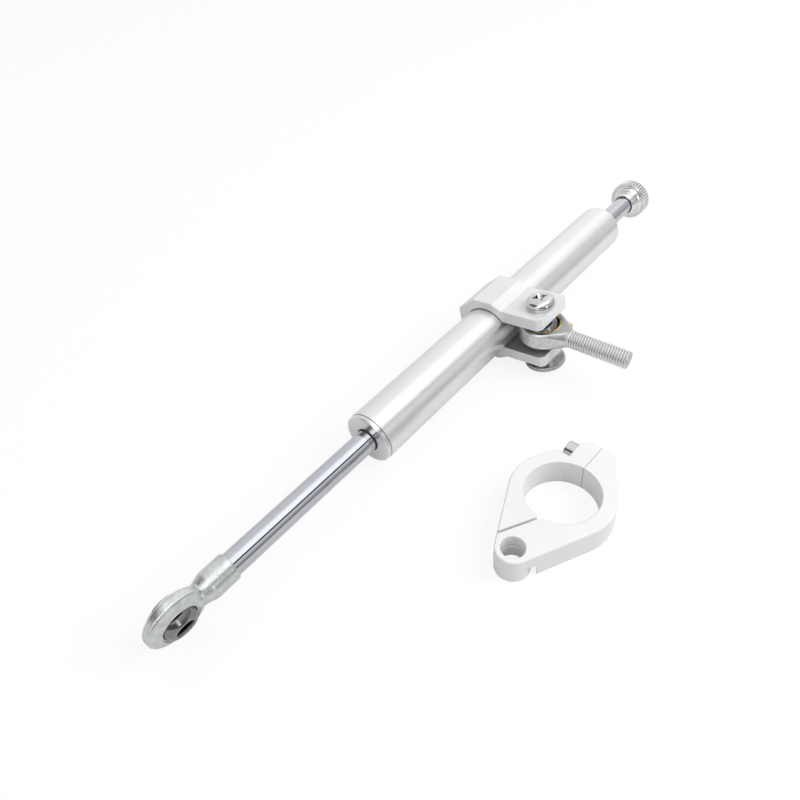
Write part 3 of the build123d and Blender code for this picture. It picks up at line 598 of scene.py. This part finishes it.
# Each material's function and looks. The CAD nodes take the material of their slot
LOOKS = {
    "anodised_tube": (satin, dict(
        base=(0.87, 0.875, 0.88), rough=0.31, metallic=0.85, place=DAMPER, stretch=TURNED, edge=0.15,
        grain=0.002,
    )),
    # The clamp's ears get painted shade on their inner faces.
    "anodised_clamp": (clamp_finish, dict(
        base=(0.87, 0.875, 0.885), rough=0.38, metallic=0.3, ear_shade_grey=0.32,
    )),
    "anodised_fork": (satin, dict(
        base=(0.92, 0.92, 0.925), rough=0.42, metallic=0.12, place=FORK, stretch=EVEN, edge=0.5,
    )),
    "polished_cap": (faced, dict(base=(0.84, 0.84, 0.835), rough=0.36, face_rough=0.2, place=DAMPER)),
    "chromed_rod": (polished, dict(base=(0.60, 0.613, 0.66), rough=0.03, place=DAMPER)),
    "polished_knob": (polished, dict(base=(0.89, 0.89, 0.89), rough=0.23, place=DAMPER)),
    # The rim and the stud's thread get painted shade in their grooves.
    "knurled_rim": (groove_shaded, dict(
        base=(0.89, 0.89, 0.89), groove=(0.42, 0.42, 0.42), rough=0.30, place=DAMPER, low=9.9, high=10.6,
    )),
    "plated_forging": (forging, dict(
        base=(0.74, 0.765, 0.755), dark=(0.57, 0.592, 0.582), rough=0.26, place=DAMPER,
    )),
    # The rod end's faces along its bore get painted shade.
    "plated_head": (forging, dict(
        base=(0.74, 0.755, 0.745), dark=(0.56, 0.575, 0.565), rough=0.27, place=ROD_END,
        face=ROD_END_UP, shaded_face_grey=0.42,
    )),
    "plated_nut": (forging, dict(
        base=(0.58, 0.59, 0.57), dark=(0.40, 0.41, 0.40), rough=0.22, place=BOLT,
    )),
    "plated_stud": (groove_shaded, dict(
        base=(0.78, 0.79, 0.78), groove=(0.54, 0.55, 0.55), rough=0.33, place=ROD_END, low=3.5, high=4.3,
    )),
    "plated_screw": (polished, dict(base=(0.70, 0.70, 0.70), rough=0.1, place=DAMPER, edge=0.2)),
    "polished_ball": (ball_finish, dict(base=(0.27, 0.27, 0.275), rough=0.07, bore=EYE_BORE)),
    "spring_steel": (polished, dict(base=(0.42, 0.42, 0.43), rough=0.25, place=DAMPER)),
    "brass_race": (polished, dict(base=(0.86, 0.68, 0.36), rough=0.22, place=ROD_END)),
    "bronze_bush": (forging, dict(
        base=(0.60, 0.45, 0.28), dark=(0.48, 0.34, 0.20), rough=0.4, place=DAMPER,
    )),
    "black_rubber": (rubbery, dict(base=(0.02, 0.02, 0.02), rough=0.5)),
    "dark_band": (rubbery, dict(base=(0.13, 0.13, 0.14), rough=0.4)),
}
MATERIALS = {name: make(name, **looks) for name, (make, looks) in LOOKS.items()}

# CAD nodes whose material isn't the one of their slot
SHOWN_AS = {
    "fork_clamp_body": "anodised_fork",
    "fork_clamp_cap": "anodised_fork",
    "front_end_cap": "polished_cap",
    "rear_end_cap": "polished_cap",
}


def dress_cad_nodes():
    """Gives every CAD node its material."""
    for row in frame["record"]["subparts"]:
        mesh = frame["nodes"][row["node"]].data
        mesh.materials.clear()
        mesh.materials.append(MATERIALS[SHOWN_AS.get(row["node"], row["material_slot"])])


# Male rod end
HEAD_RADIUS = 11.0
HEAD_HALF = 4.5
HEAD_EDGE = 0.9
HEAD_OPENING = 8.6
HEAD_NECK_AT = 14.0
HEAD_SIDES = 96
NECK_FROM = 9.0
NECK_SIDES = 48
STUD_RADIUS = 4.2
STUD_REACH = 42.4
STUD_CORE = 3.75
RACE_REACH = 4.4
RACE_LIP = 7.45
CUT_REACH = 9.0

# Metric thread: its profile as (share of a turn, share of the depth)
THREAD_PITCH = 1.25
THREAD_PROFILE = [(0.0, 0.0), (0.15, 0.08), (0.35, 0.6), (0.5, 1.0), (0.65, 0.6), (0.85, 0.08)]
THREAD_SIDES = 64
THREAD_MERGE = 1e-4


def thread(start, tip, radius, core, pitch):
    """Screw thread along X whose columns of points follow the helix, chamfered at its tip."""
    turns = range(int(start / pitch) - 2, int(tip / pitch) + 2)
    bm = bmesh.new()
    columns = []
    for side in range(THREAD_SIDES + 1):
        angle = 2 * math.pi * (side % THREAD_SIDES) / THREAD_SIDES
        column = []
        for turn in turns:
            for share, depth in THREAD_PROFILE:
                along = pitch * (turn + share + side / THREAD_SIDES)
                reach = radius - (radius - core) * depth * min(1.0, max(0.0, (along - start) / pitch))
                reach = min(reach, core + max(0.0, tip - along))
                column.append(bm.verts.new(about_x(min(tip, max(start, along)), reach, angle)))
        columns.append(column)
    pairs = list(zip(columns, columns[1:]))
    for first, second in pairs:
        for low in range(len(first) - 1):
            bm.faces.new((first[low], second[low], second[low + 1], first[low + 1]))
    for end, along in ((0, start), (-1, tip)):
        middle = bm.verts.new((along, 0, 0))
        for first, second in pairs:
            bm.faces.new((first[end], second[end], middle))
    bmesh.ops.remove_doubles(bm, verts=bm.verts, dist=THREAD_MERGE)
    bmesh.ops.dissolve_degenerate(bm, edges=bm.edges, dist=THREAD_MERGE)
    return finished(bm, "thread")


def teardrop(radius, half, edge, neck_at, neck_radius):
    """Disc on Z that narrows to a round neck along X, with chamfered edges."""
    points = []
    for reach, height in ((radius - edge, half), (radius, half - edge)):
        for side in range(HEAD_SIDES):
            angle = 2 * math.pi * side / HEAD_SIDES
            x, y = reach * math.cos(angle), reach * math.sin(angle)
            points += [(x, y, -height), (x, y, height)]
    turns = [2 * math.pi * side / NECK_SIDES for side in range(NECK_SIDES)]
    return hull(points + [about_x(neck_at, neck_radius, turn) for turn in turns])


def make_rod_end():
    """Forged head that narrows to its stud, with the stud's thread and the race."""
    head = teardrop(HEAD_RADIUS, HEAD_HALF, HEAD_EDGE, HEAD_NECK_AT - 0.5, STUD_RADIUS + 0.4)
    neck = lathe([
        (NECK_FROM, 0), (NECK_FROM, STUD_RADIUS),
        (HEAD_NECK_AT + 0.2, STUD_RADIUS), (HEAD_NECK_AT + 0.6, STUD_CORE),
        (HEAD_NECK_AT + 1.5, STUD_CORE - 0.2), (HEAD_NECK_AT + 1.5, 0),
    ])
    body = forged([head, neck], voxel=0.25, rounds=5)
    bore = stood(cylinder(-CUT_REACH, CUT_REACH, HEAD_OPENING))
    body = smooth(cut(body, [bore]), angle=42)
    piece = new_piece("rod_end_forging", body, "rod_end", MATERIALS["plated_head"], ROD_END)
    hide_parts("rod_end_housing")
    stud = smooth(thread(HEAD_NECK_AT - 0.3, STUD_REACH, STUD_RADIUS, STUD_CORE, THREAD_PITCH), angle=70)
    new_piece("rod_end_stud_thread", stud, "rod_end", MATERIALS["plated_stud"], ROD_END)
    race = smooth(stood(lathe([
        (0, 8.02), (1.5, 7.88), (3.1, 7.42), (RACE_REACH - 0.3, RACE_LIP), (RACE_REACH, RACE_LIP + 0.3),
        (RACE_REACH, HEAD_OPENING), (-RACE_REACH, HEAD_OPENING), (-RACE_REACH, RACE_LIP + 0.3),
        (0.3 - RACE_REACH, RACE_LIP), (-3.1, 7.42), (-1.5, 7.88),
    ], closed=True)), angle=30)
    piece = new_piece("rod_end_brass_race", race, "rod_end", MATERIALS["brass_race"], ROD_END)
    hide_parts("rod_end_race")


# Bolt through the clamp's ears
EAR_OUTER = 13.0
BOLT_RADIUS = 4.0
BOLT_END = -17.8
BOLT_HEAD_RADIUS = 6.7
BOLT_HEAD = 4.8
BOLT_GROOVE = 0.5
DOME_FROM = EAR_OUTER + 1.85
DOME_STEPS = 12
DOME_FULLNESS = 0.62
CROSS_REACH = 3.9
CROSS_WIDTH = 1.7
CROSS_DEPTH = 2.2
CROSS_ABOVE = 1.0


def cross_wing(turn):
    """Wing of the cross recess, narrower and shallower at its ends."""
    top = (CROSS_REACH * 1.15, CROSS_WIDTH / 2, CROSS_ABOVE)
    bottom = (CROSS_REACH * 0.42, CROSS_WIDTH * 0.35, -CROSS_DEPTH)
    quarters = [(x, y) for x in (-1, 1) for y in (-1, 1)]
    wing = hull([(x * long, y * wide, up) for long, wide, up in (top, bottom) for x, y in quarters])
    turned = Matrix.Rotation(math.radians(turn), 4, "Z")
    wing.transform(Matrix.Translation((0, 0, EAR_OUTER + BOLT_HEAD)) @ turned)
    return wing


def make_bolt():
    """Screw with a groove round its domed head and a cross recess."""
    top, radius = EAR_OUTER + BOLT_HEAD, BOLT_HEAD_RADIUS
    outline = [
        (EAR_OUTER - 0.5, 0), (EAR_OUTER - 0.5, BOLT_RADIUS), (EAR_OUTER, BOLT_RADIUS),
        (EAR_OUTER, radius - 0.2), (EAR_OUTER + 0.2, radius), (EAR_OUTER + 1.3, radius),
        (EAR_OUTER + 1.4, radius - BOLT_GROOVE), (EAR_OUTER + 1.75, radius - BOLT_GROOVE),
        (DOME_FROM, radius),
    ]
    for step in range(1, DOME_STEPS):
        angle = math.radians(90 * step / DOME_STEPS)
        rise = (top - DOME_FROM) * math.sin(angle)
        outline.append((DOME_FROM + rise, radius * math.cos(angle) ** DOME_FULLNESS))
    outline.append((top, 0))
    head = stood(lathe(outline, sides=96))
    cup = stood(lathe([(top - 1.5, 0), (top - 1.5, 1.5), (top + 0.4, 2.2), (top + 0.4, 0)], sides=48))
    head = cut(head, [cross_wing(45), cross_wing(135), cup])
    shank = stood(lathe([
        (BOLT_END, 0), (BOLT_END - 1.0, 3.2), (BOLT_END, BOLT_RADIUS),
        (EAR_OUTER - 0.4, BOLT_RADIUS), (EAR_OUTER - 0.4, 0),
    ], sides=48))
    mesh = smooth(joined([head, shank]), angle=28)
    piece = new_piece("domed_clamp_bolt", mesh, "clamp", MATERIALS["plated_screw"], BOLT)
    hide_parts("clamp_bolt")


# Nut under the clamp's lower ear
NUT_HEX = 3.6
NUT_ACROSS_FLATS = 13.0
NUT_BORE = 4.2
NUT_COLLAR = 2.2
NUT_COLLAR_RADIUS = 9.6
NUT_BEYOND = 20.0


def make_nut():
    """Six-sided nut on a wide collar, with its corners turned off."""
    top, bottom = -EAR_OUTER, -EAR_OUTER - NUT_HEX - NUT_COLLAR
    collar = stood(lathe(rounded([
        (bottom, NUT_BORE),
        (bottom, NUT_COLLAR_RADIUS, 0.7),
        (bottom + NUT_COLLAR, NUT_COLLAR_RADIUS, 0.5),
        (bottom + NUT_COLLAR, NUT_BORE),
    ]), sides=96, closed=True))
    rim, corner = NUT_ACROSS_FLATS / 2, NUT_ACROSS_FLATS / math.sqrt(3)
    bm = bmesh.new()
    turns = [math.radians(60 * side) for side in range(6)]
    low, high = (
        [bm.verts.new((corner * math.cos(turn), corner * math.sin(turn), height)) for turn in turns]
        for height in (bottom + 1.0, top)
    )
    bridge(bm, low, high)
    bm.faces.new(low)
    bm.faces.new(high)
    six = finished(bm, "six")
    turning = stood(lathe([
        (top + 1.0, rim + 0.1), (top + 1.0, NUT_BEYOND), (top - 0.9, NUT_BEYOND),
        (top - 0.9, corner + 0.4), (top - 0.05, rim + 0.1),
    ], sides=96, closed=True))
    hole = stood(cylinder(bottom - NUT_BEYOND, 0, BOLT_RADIUS, sides=48))
    six = cut(six, [turning, hole])
    mesh = smooth(joined([collar, six]), angle=28)
    piece = new_piece("collared_clamp_nut", mesh, "clamp", MATERIALS["plated_nut"], BOLT)
    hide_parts("clamp_nut")


# Knob, with outlines as (along, radius, rounding) of its hub and of its back
KNOB_GRIP = KNOB_FACE + 5.8
KNOB_BACK = KNOB_GRIP + 5.4
KNOB_RADIUS = 10.6
KNOB_BORE = 5.4
KNURLS = 42
KNURL_DEPTH = 0.6
KNURL_SIDES = 8
KNURL_SLOPE = 1.25
DARK_RING_BORE = 5.03
KNOB_HUB_OUTLINE = [
    (KNOB_FACE + 1.5, 0),
    (KNOB_FACE + 1.5, KNOB_BORE),
    (KNOB_FACE, KNOB_BORE, 0.15),
    (KNOB_FACE, 6.0, 0.2),
    (KNOB_FACE + 2.4, 6.3, 0.1),
    (KNOB_FACE + 2.4, 6.8, 0.25),
    (KNOB_FACE + 4.6, 7.0, 0.8),
    (KNOB_GRIP + 0.5, 7.9, 0.9),
    (KNOB_GRIP, KNOB_RADIUS - 0.62, 0.1),
    (KNOB_GRIP + 0.2, KNOB_RADIUS - 0.12),
    (KNOB_GRIP + 0.3, KNOB_RADIUS),
]
KNOB_BACK_OUTLINE = [
    (KNOB_BACK - 0.55, KNOB_RADIUS - 0.15),
    (KNOB_BACK, KNOB_RADIUS - 0.7, 0.2),
    (KNOB_BACK, 8.4, 0.2),
    (KNOB_BACK - 0.5, 8.0, 0.2),
    (KNOB_BACK - 0.5, 3.9, 0.2),
    (KNOB_BACK, 3.5, 0.2),
    (KNOB_BACK, 2.6, 0.1),
    (KNOB_BACK - 1.7, 2.6),
    (KNOB_BACK - 1.7, 0),
]


def knurl_radius(radius, angle):
    """Radius of the knob at an angle, with straight ribs on its rim."""
    if radius < KNOB_RADIUS - 0.05:
        return radius
    turn = angle * KNURLS / (2 * math.pi)
    wave = abs(2 * (turn - math.floor(turn)) - 1)
    return radius - KNURL_DEPTH * max(0.0, 1 - wave * KNURL_SLOPE)


def make_knob():
    """Turned knob with a stepped hub, a dished face and a ribbed rim, and a dark ring in its bore."""
    points = rounded(KNOB_HUB_OUTLINE)
    points += [Vector((along, KNOB_RADIUS)) for along in (KNOB_GRIP + 2.5, KNOB_BACK - 0.7)]
    points += rounded(KNOB_BACK_OUTLINE)
    mesh = smooth(lathe(points, KNURLS * KNURL_SIDES, knurl_radius), angle=32)
    mesh.materials.append(MATERIALS["polished_knob"])
    mesh.materials.append(MATERIALS["knurled_rim"])
    for face in mesh.polygons:
        on_rim = face.center.yz.length > KNOB_RADIUS - 0.66 and face.center.x > KNOB_GRIP + 0.15
        face.material_index = int(on_rim)
    piece = new_piece("knurled_knob", mesh, "knob", None, DAMPER)
    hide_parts("adjuster_knob")
    # A dark ring round the rod in the knob's bore.
    mesh = ring_between(KNOB_FACE + 0.25, KNOB_FACE + 1.4, DARK_RING_BORE, KNOB_BORE - 0.02)
    new_piece("knob_bore_dark_ring", mesh, "knob", MATERIALS["dark_band"], DAMPER)


# Rod eye
EYE_RADIUS = 12.3
EYE_RIM_HALF = 2.0
EYE_RIM_BACK = 1.4
EYE_FACE_HALF = 4.0
EYE_FACE_BACK = 3.5
EYE_OPENING = 8.0
EYE_SEAT_ENDS = (-2.7, 3.4)
EYE_SEAT_RADIUS = 9.3
EYE_NECK_FROM = 7.0
EYE_NECK_RADIUS = 4.5
EYE_SHANK_RADIUS = 5.85
EYE_SHANK_END = 25.3
EYE_FILLET = 4.0
EYE_THREAD_DEPTH = 9.0
EYE_BEYOND = 30.0


def make_rod_eye():
    """Forged eye that runs smoothly into its round shank."""
    ring = stood(lathe(rounded([
        (-EYE_FACE_BACK, 0),
        (-EYE_FACE_BACK, EYE_OPENING, 0.2),
        (-EYE_RIM_BACK, EYE_RADIUS, 1.0),
        (EYE_RIM_HALF, EYE_RADIUS, 1.0),
        (EYE_FACE_HALF, EYE_OPENING, 0.2),
        (EYE_FACE_HALF, 0),
    ])))
    shank = lathe(rounded([
        (EYE_NECK_FROM, 0),
        (EYE_NECK_FROM, EYE_NECK_RADIUS),
        (EYE_SHANK_END - 14.6, EYE_NECK_RADIUS, EYE_FILLET),
        (EYE_SHANK_END - 10.2, EYE_SHANK_RADIUS, EYE_FILLET),
        (EYE_SHANK_END, EYE_SHANK_RADIUS, 0.5),
        (EYE_SHANK_END, 0),
    ]))
    body = forged([ring, shank], voxel=0.24, rounds=8)
    bore = stood(cylinder(-CUT_REACH, CUT_REACH, EYE_OPENING))
    seat = stood(cylinder(*EYE_SEAT_ENDS, EYE_SEAT_RADIUS))
    hole = cylinder(EYE_SHANK_END - EYE_THREAD_DEPTH, EYE_BEYOND, ROD_RADIUS)
    body = smooth(cut(body, [bore, seat, hole]), angle=40)
    piece = new_piece("rod_eye_forging", body, "rod", MATERIALS["plated_forging"], EYE)
    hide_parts("rod_eye")


# Small rings, along from the tube's near end
CAP_FACE = -2.2
SCRAPER_RADIUS = 6.9
LIP_RADIUS = 5.5
LIP_BORE = 5.04
TUBE_RADIUS = 11.8
CLAMP_MIDDLE = 96.0
CLAMP_WIDTH = 23.8
CLAMP_FRONT = CLAMP_MIDDLE - CLAMP_WIDTH / 2
# Angles of the painted shade in the clamp's gap
GAP_SHADE_ANGLES = (45, 140)
SEAM = (-0.65, -0.2)
SEAM_BORE = 10.8


def make_rings():
    """Dark lip and seat of the front scraper, and a thin black arc of painted shade where the clamp takes the
    tube.
    """
    lip = smooth(lathe(rounded([
        (CAP_FACE - 0.45, LIP_BORE), (CAP_FACE - 0.45, LIP_RADIUS - 0.1, 0.1),
        (CAP_FACE + 1.0, LIP_RADIUS), (CAP_FACE + 1.0, LIP_BORE),
    ]), sides=96, closed=True))
    piece = new_piece("front_scraper_lip", lip, "barrel", MATERIALS["black_rubber"], DAMPER)
    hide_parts("front_scraper")
    seat = ring_between(CAP_FACE, CAP_FACE + 2.0, LIP_RADIUS, SCRAPER_RADIUS)
    new_piece("front_scraper_seat", seat, "barrel", MATERIALS["polished_cap"], DAMPER)
    seam = ring_between(*SEAM, SEAM_BORE, TUBE_RADIUS - 0.25)
    new_piece("front_seam_ring", seam, "barrel", MATERIALS["polished_cap"], DAMPER)
    # Painted shade: a black arc on the clamp's front face stands for the shadowed gap round the tube.
    along = (CLAMP_FRONT - 0.05, CLAMP_FRONT + 0.3)
    gap_shade = smooth(arc(along, (TUBE_RADIUS + 0.02, TUBE_RADIUS + 0.35), *GAP_SHADE_ANGLES))
    new_piece("clamp_gap_shade", gap_shade, "clamp", MATERIALS["black_rubber"], DAMPER)


# Spacers between the ears and the rod end's ball
SPACER_BORE = 4.3
SPACER_BALL_RADIUS = 5.6
SPACER_EAR_RADIUS = 6.3


def make_spacers():
    """Narrow collars between the ears and the ball."""
    for name, side in (("spacer_upper", 1), ("spacer_lower", -1)):
        ball_side, ear_side = BALL_HALF * side, EAR_INNER * side
        collar = lathe(rounded([
            (ball_side, SPACER_BORE), (ball_side, SPACER_BALL_RADIUS, 0.2),
            (ear_side, SPACER_EAR_RADIUS, 0.2), (ear_side, SPACER_BORE),
        ]), sides=64, closed=True)
        mesh = smooth(stood(collar))
        piece = new_piece("narrow_" + name, mesh, "clamp", MATERIALS["plated_screw"], BOLT)
        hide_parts(name)


# Fork clamp's boss
FORK_BOSS_RADIUS = 6.9
FORK_HALF_THICKNESS = 6.0
RIDGE_ROOT = FORK_BOSS_RADIUS - 0.5
RIDGE_TOP = FORK_BOSS_RADIUS + 0.14


def make_boss_line():
    """Fine ridge half way down the fork clamp's boss."""
    place = place_of(mount("fork_ear_hole")["pos_m"], (1, 0, 0), (0, 0, 1))
    place.translation.z = FORK_HALF_THICKNESS * MM
    ridge = smooth(stood(lathe([
        (-0.18, RIDGE_ROOT), (-0.18, FORK_BOSS_RADIUS), (-0.05, RIDGE_TOP),
        (0.05, RIDGE_TOP), (0.12, FORK_BOSS_RADIUS), (0.12, RIDGE_ROOT),
    ], sides=96, closed=True)), angle=60)
    new_piece("fork_boss_line", ridge, "fork_clamp", MATERIALS["anodised_fork"], place)


# Grease nipple
NIPPLE_ANGLE = 40.0
NIPPLE_FOOT = 2.4
NIPPLE_WAIST = 1.2


def make_nipple():
    """Nipple with a round foot, a waist and a domed tip."""
    base = HEAD_RADIUS + 0.05
    mesh = smooth(lathe(rounded([
        (HEAD_RADIUS - 1.2, 0),
        (HEAD_RADIUS - 1.2, 1.1),
        (base, 1.1),
        (base, NIPPLE_FOOT, 0.2),
        (base + 1.2, NIPPLE_FOOT, 0.3),
        (base + 1.5, NIPPLE_WAIST, 0.2),
        (base + 1.9, NIPPLE_WAIST, 0.2),
        (base + 2.3, 1.6, 0.3),
        (base + 3.0, 0.9, 0.3),
        (base + 3.0, 0.0),
    ]), sides=48))
    turned = ROD_END @ Matrix.Rotation(math.radians(NIPPLE_ANGLE), 4, "Z")
    piece = new_piece("domed_grease_nipple", mesh, "rod_end", MATERIALS["brass_race"], turned)
    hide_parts("grease_nipple")


# Floor, in metres. Its grey in reflections runs from front to back between FLOOR_TURNS
FLOOR_SIZE = 6.0
FLOOR_MIDDLE = (0.1, 0.05, 0)
FLOOR_SEEN = (0.93, 0.93, 0.93, 1)
FLOOR_GLOW = 1.03
FLOOR_GLOW_SHARE = 0.82
FLOOR_GREY_BOUNCED = 0.55
FLOOR_GREY_FRONT = 0.28
FLOOR_GREY_BACK = 0.85
FLOOR_TURNS = (-0.16, -0.05)
WHITE = (1, 1, 1, 1)


def make_floor():
    """Floor that is white to the camera but keeps the object's shadow, and is greyer in reflections."""
    bpy.ops.mesh.primitive_plane_add(size=FLOOR_SIZE, location=FLOOR_MIDDLE)
    floor = bpy.context.object
    floor.name = "floor"
    material = bpy.data.materials.new("floor")
    material.use_nodes = True
    tree = material.node_tree
    tree.nodes.clear()
    output = tree.nodes.new("ShaderNodeOutputMaterial")
    seen = tree.nodes.new("ShaderNodeBsdfDiffuse")
    seen.inputs["Color"].default_value = FLOOR_SEEN
    bright = tree.nodes.new("ShaderNodeEmission")
    bright.inputs["Color"].default_value = WHITE
    bright.inputs["Strength"].default_value = FLOOR_GLOW
    path = tree.nodes.new("ShaderNodeLightPath")
    where = tree.nodes.new("ShaderNodeTexCoord")
    near = step_of(tree, axes_of(tree, where.outputs["Object"])["Y"], *FLOOR_TURNS)
    mirrored = ranged(tree, near, (0.0, 1.0), (FLOOR_GREY_FRONT, FLOOR_GREY_BACK))
    grey = mixed(tree, path.outputs["Is Glossy Ray"], FLOOR_GREY_BOUNCED, mirrored)
    bounce = tree.nodes.new("ShaderNodeBsdfDiffuse")
    tree.links.new(grey, bounce.inputs["Color"])
    white = mixed_shaders(tree, FLOOR_GLOW_SHARE, seen.outputs["BSDF"], bright.outputs["Emission"])
    surface = mixed_shaders(tree, path.outputs["Is Camera Ray"], bounce.outputs["BSDF"], white)
    tree.links.new(surface, output.inputs["Surface"])
    floor.data.materials.append(material)


# Studio that reflections show, as (angle, grey): the angle is about X, in degrees from straight up towards
# the near side. Directions whose X is under FAR_FROM follow NEAR_END, and those over FAR_TO follow FAR_END
NEAR_END = [
    (-100, 0.46), (-77, 0.50), (-48, 0.56), (-24, 0.57), (-13, 0.67), (-3, 0.89), (7, 1.0), (30, 1.0),
    (37, 0.90), (39.5, 0.0), (48.5, 0.0), (52, 0.56), (64, 0.48), (74, 0.35), (83, 0.23), (90, 0.15),
]
FAR_END = [
    (-100, 0.62), (-62, 0.66), (-31, 0.64), (-4, 0.78), (20, 0.60), (44, 0.42), (69, 0.38), (95, 0.31),
]
FAR_FROM = 0.42
FAR_TO = 0.78

# Patches of the studio: spans of a direction's X, Y and Z, their softness, and the patch's grey
PATCHES = [
    # Dark beside the camera
    (((-1.1, -0.36), (-1.1, -0.42), (-0.3, 0.40)), 0.08, 0.13),
    # Dark behind, on the left
    (((-0.85, -0.24), (0.1, 1.1), (0.28, 0.85)), 0.08, 0.08),
    # Bright strip on the near side
    (((-0.26, -0.06), (-1.1, -0.75), (0.0, 0.55)), 0.05, 1.25),
]
STUDIO_STRENGTH = 1.56
FILL_STRENGTH = 0.68


def ramp(tree, value, stops):
    """Grey that follows a value through (angle, grey) stops. 0 stands for -180 degrees and 1 for 180."""
    return ramped(tree, value, [((angle + 180) / 360, (grey, grey, grey)) for angle, grey in stops])


def background(tree, strength):
    """White background of a strength."""
    node = tree.nodes.new("ShaderNodeBackground")
    node.inputs["Strength"].default_value = strength
    node.inputs["Color"].default_value = WHITE
    return node


def area(tree, values, spans, soft):
    """1 for directions within a span of each coordinate, 0 beyond."""
    across, deep, up = (window(tree, value, *span, soft) for value, span in zip(values, spans))
    return maths(tree, "MULTIPLY", maths(tree, "MULTIPLY", across, deep), up)


def make_world():
    """White to the camera, a studio with a large soft box to reflections, and an even light to the rest."""
    world = bpy.data.worlds.new("studio")
    bpy.context.scene.world = world
    world.use_nodes = True
    tree = world.node_tree
    tree.nodes.clear()
    output = tree.nodes.new("ShaderNodeOutputWorld")
    path = tree.nodes.new("ShaderNodeLightPath")
    where = tree.nodes.new("ShaderNodeTexCoord")
    axes = axes_of(tree, where.outputs["Generated"])
    x, y, z = (axes[name] for name in "XYZ")
    turn = maths(tree, "ARCTAN2", maths(tree, "MULTIPLY", y, -1.0), z)
    share = maths(tree, "MULTIPLY_ADD", turn, 1 / (2 * math.pi), 0.5)
    far = step_of(tree, x, FAR_FROM, FAR_TO)
    grey = mixed(tree, far, ramp(tree, share, NEAR_END), ramp(tree, share, FAR_END))
    for spans, soft, patch in PATCHES:
        grey = mixed(tree, area(tree, (x, y, z), spans, soft), grey, patch)
    studio = background(tree, STUDIO_STRENGTH)
    tree.links.new(grey, studio.inputs["Color"])
    fill = background(tree, FILL_STRENGTH).outputs["Background"]
    lit = mixed_shaders(tree, path.outputs["Is Glossy Ray"], fill, studio.outputs["Background"])
    white = background(tree, 1.0).outputs["Background"]
    tree.links.new(mixed_shaders(tree, path.outputs["Is Camera Ray"], lit, white), output.inputs["Surface"])


def make_lamp(name, at, towards, size, power):
    """Soft square lamp that reflections don't show. Its sizes are in metres."""
    data = bpy.data.lights.new(name, "AREA")
    data.shape = "SQUARE"
    data.size = size
    data.energy = power
    lamp = bpy.data.objects.new(name, data)
    bpy.context.scene.collection.objects.link(lamp)
    lamp.location = at
    lamp.visible_glossy = False
    lamp.rotation_euler = (Vector(towards) - Vector(at)).to_track_quat("-Z", "Y").to_euler()


def make_camera():
    """Camera at the photograph's place."""
    data = bpy.data.cameras.new("camera")
    data.sensor_fit = "HORIZONTAL"
    data.sensor_width = SENSOR_WIDTH
    data.lens = SENSOR_WIDTH * FOCAL_PIXELS / PHOTO_WIDTH
    data.clip_start, data.clip_end = CAMERA_CLIP
    camera = bpy.data.objects.new("camera", data)
    bpy.context.scene.collection.objects.link(camera)
    at, target = Vector(CAMERA_AT) * MM, Vector(CAMERA_LOOKS_AT) * MM
    level = (target - at).to_track_quat("-Z", "Y").to_matrix().to_4x4()
    roll = Matrix.Rotation(math.radians(CAMERA_ROLL), 4, "Z")
    camera.matrix_world = Matrix.Translation(at) @ level @ roll
    bpy.context.scene.camera = camera


dress_cad_nodes()
make_rod_end()
make_knob()
make_rod_eye()
make_nipple()
make_bolt()
make_nut()
make_rings()
make_spacers()
make_boss_line()
make_floor()
make_world()
make_lamp("key", at=(0.42, -0.56, 0.70), towards=(0, 0.06, 0), size=0.7, power=5.6)
make_camera()
bpy.context.scene.view_settings.view_transform = "Standard"
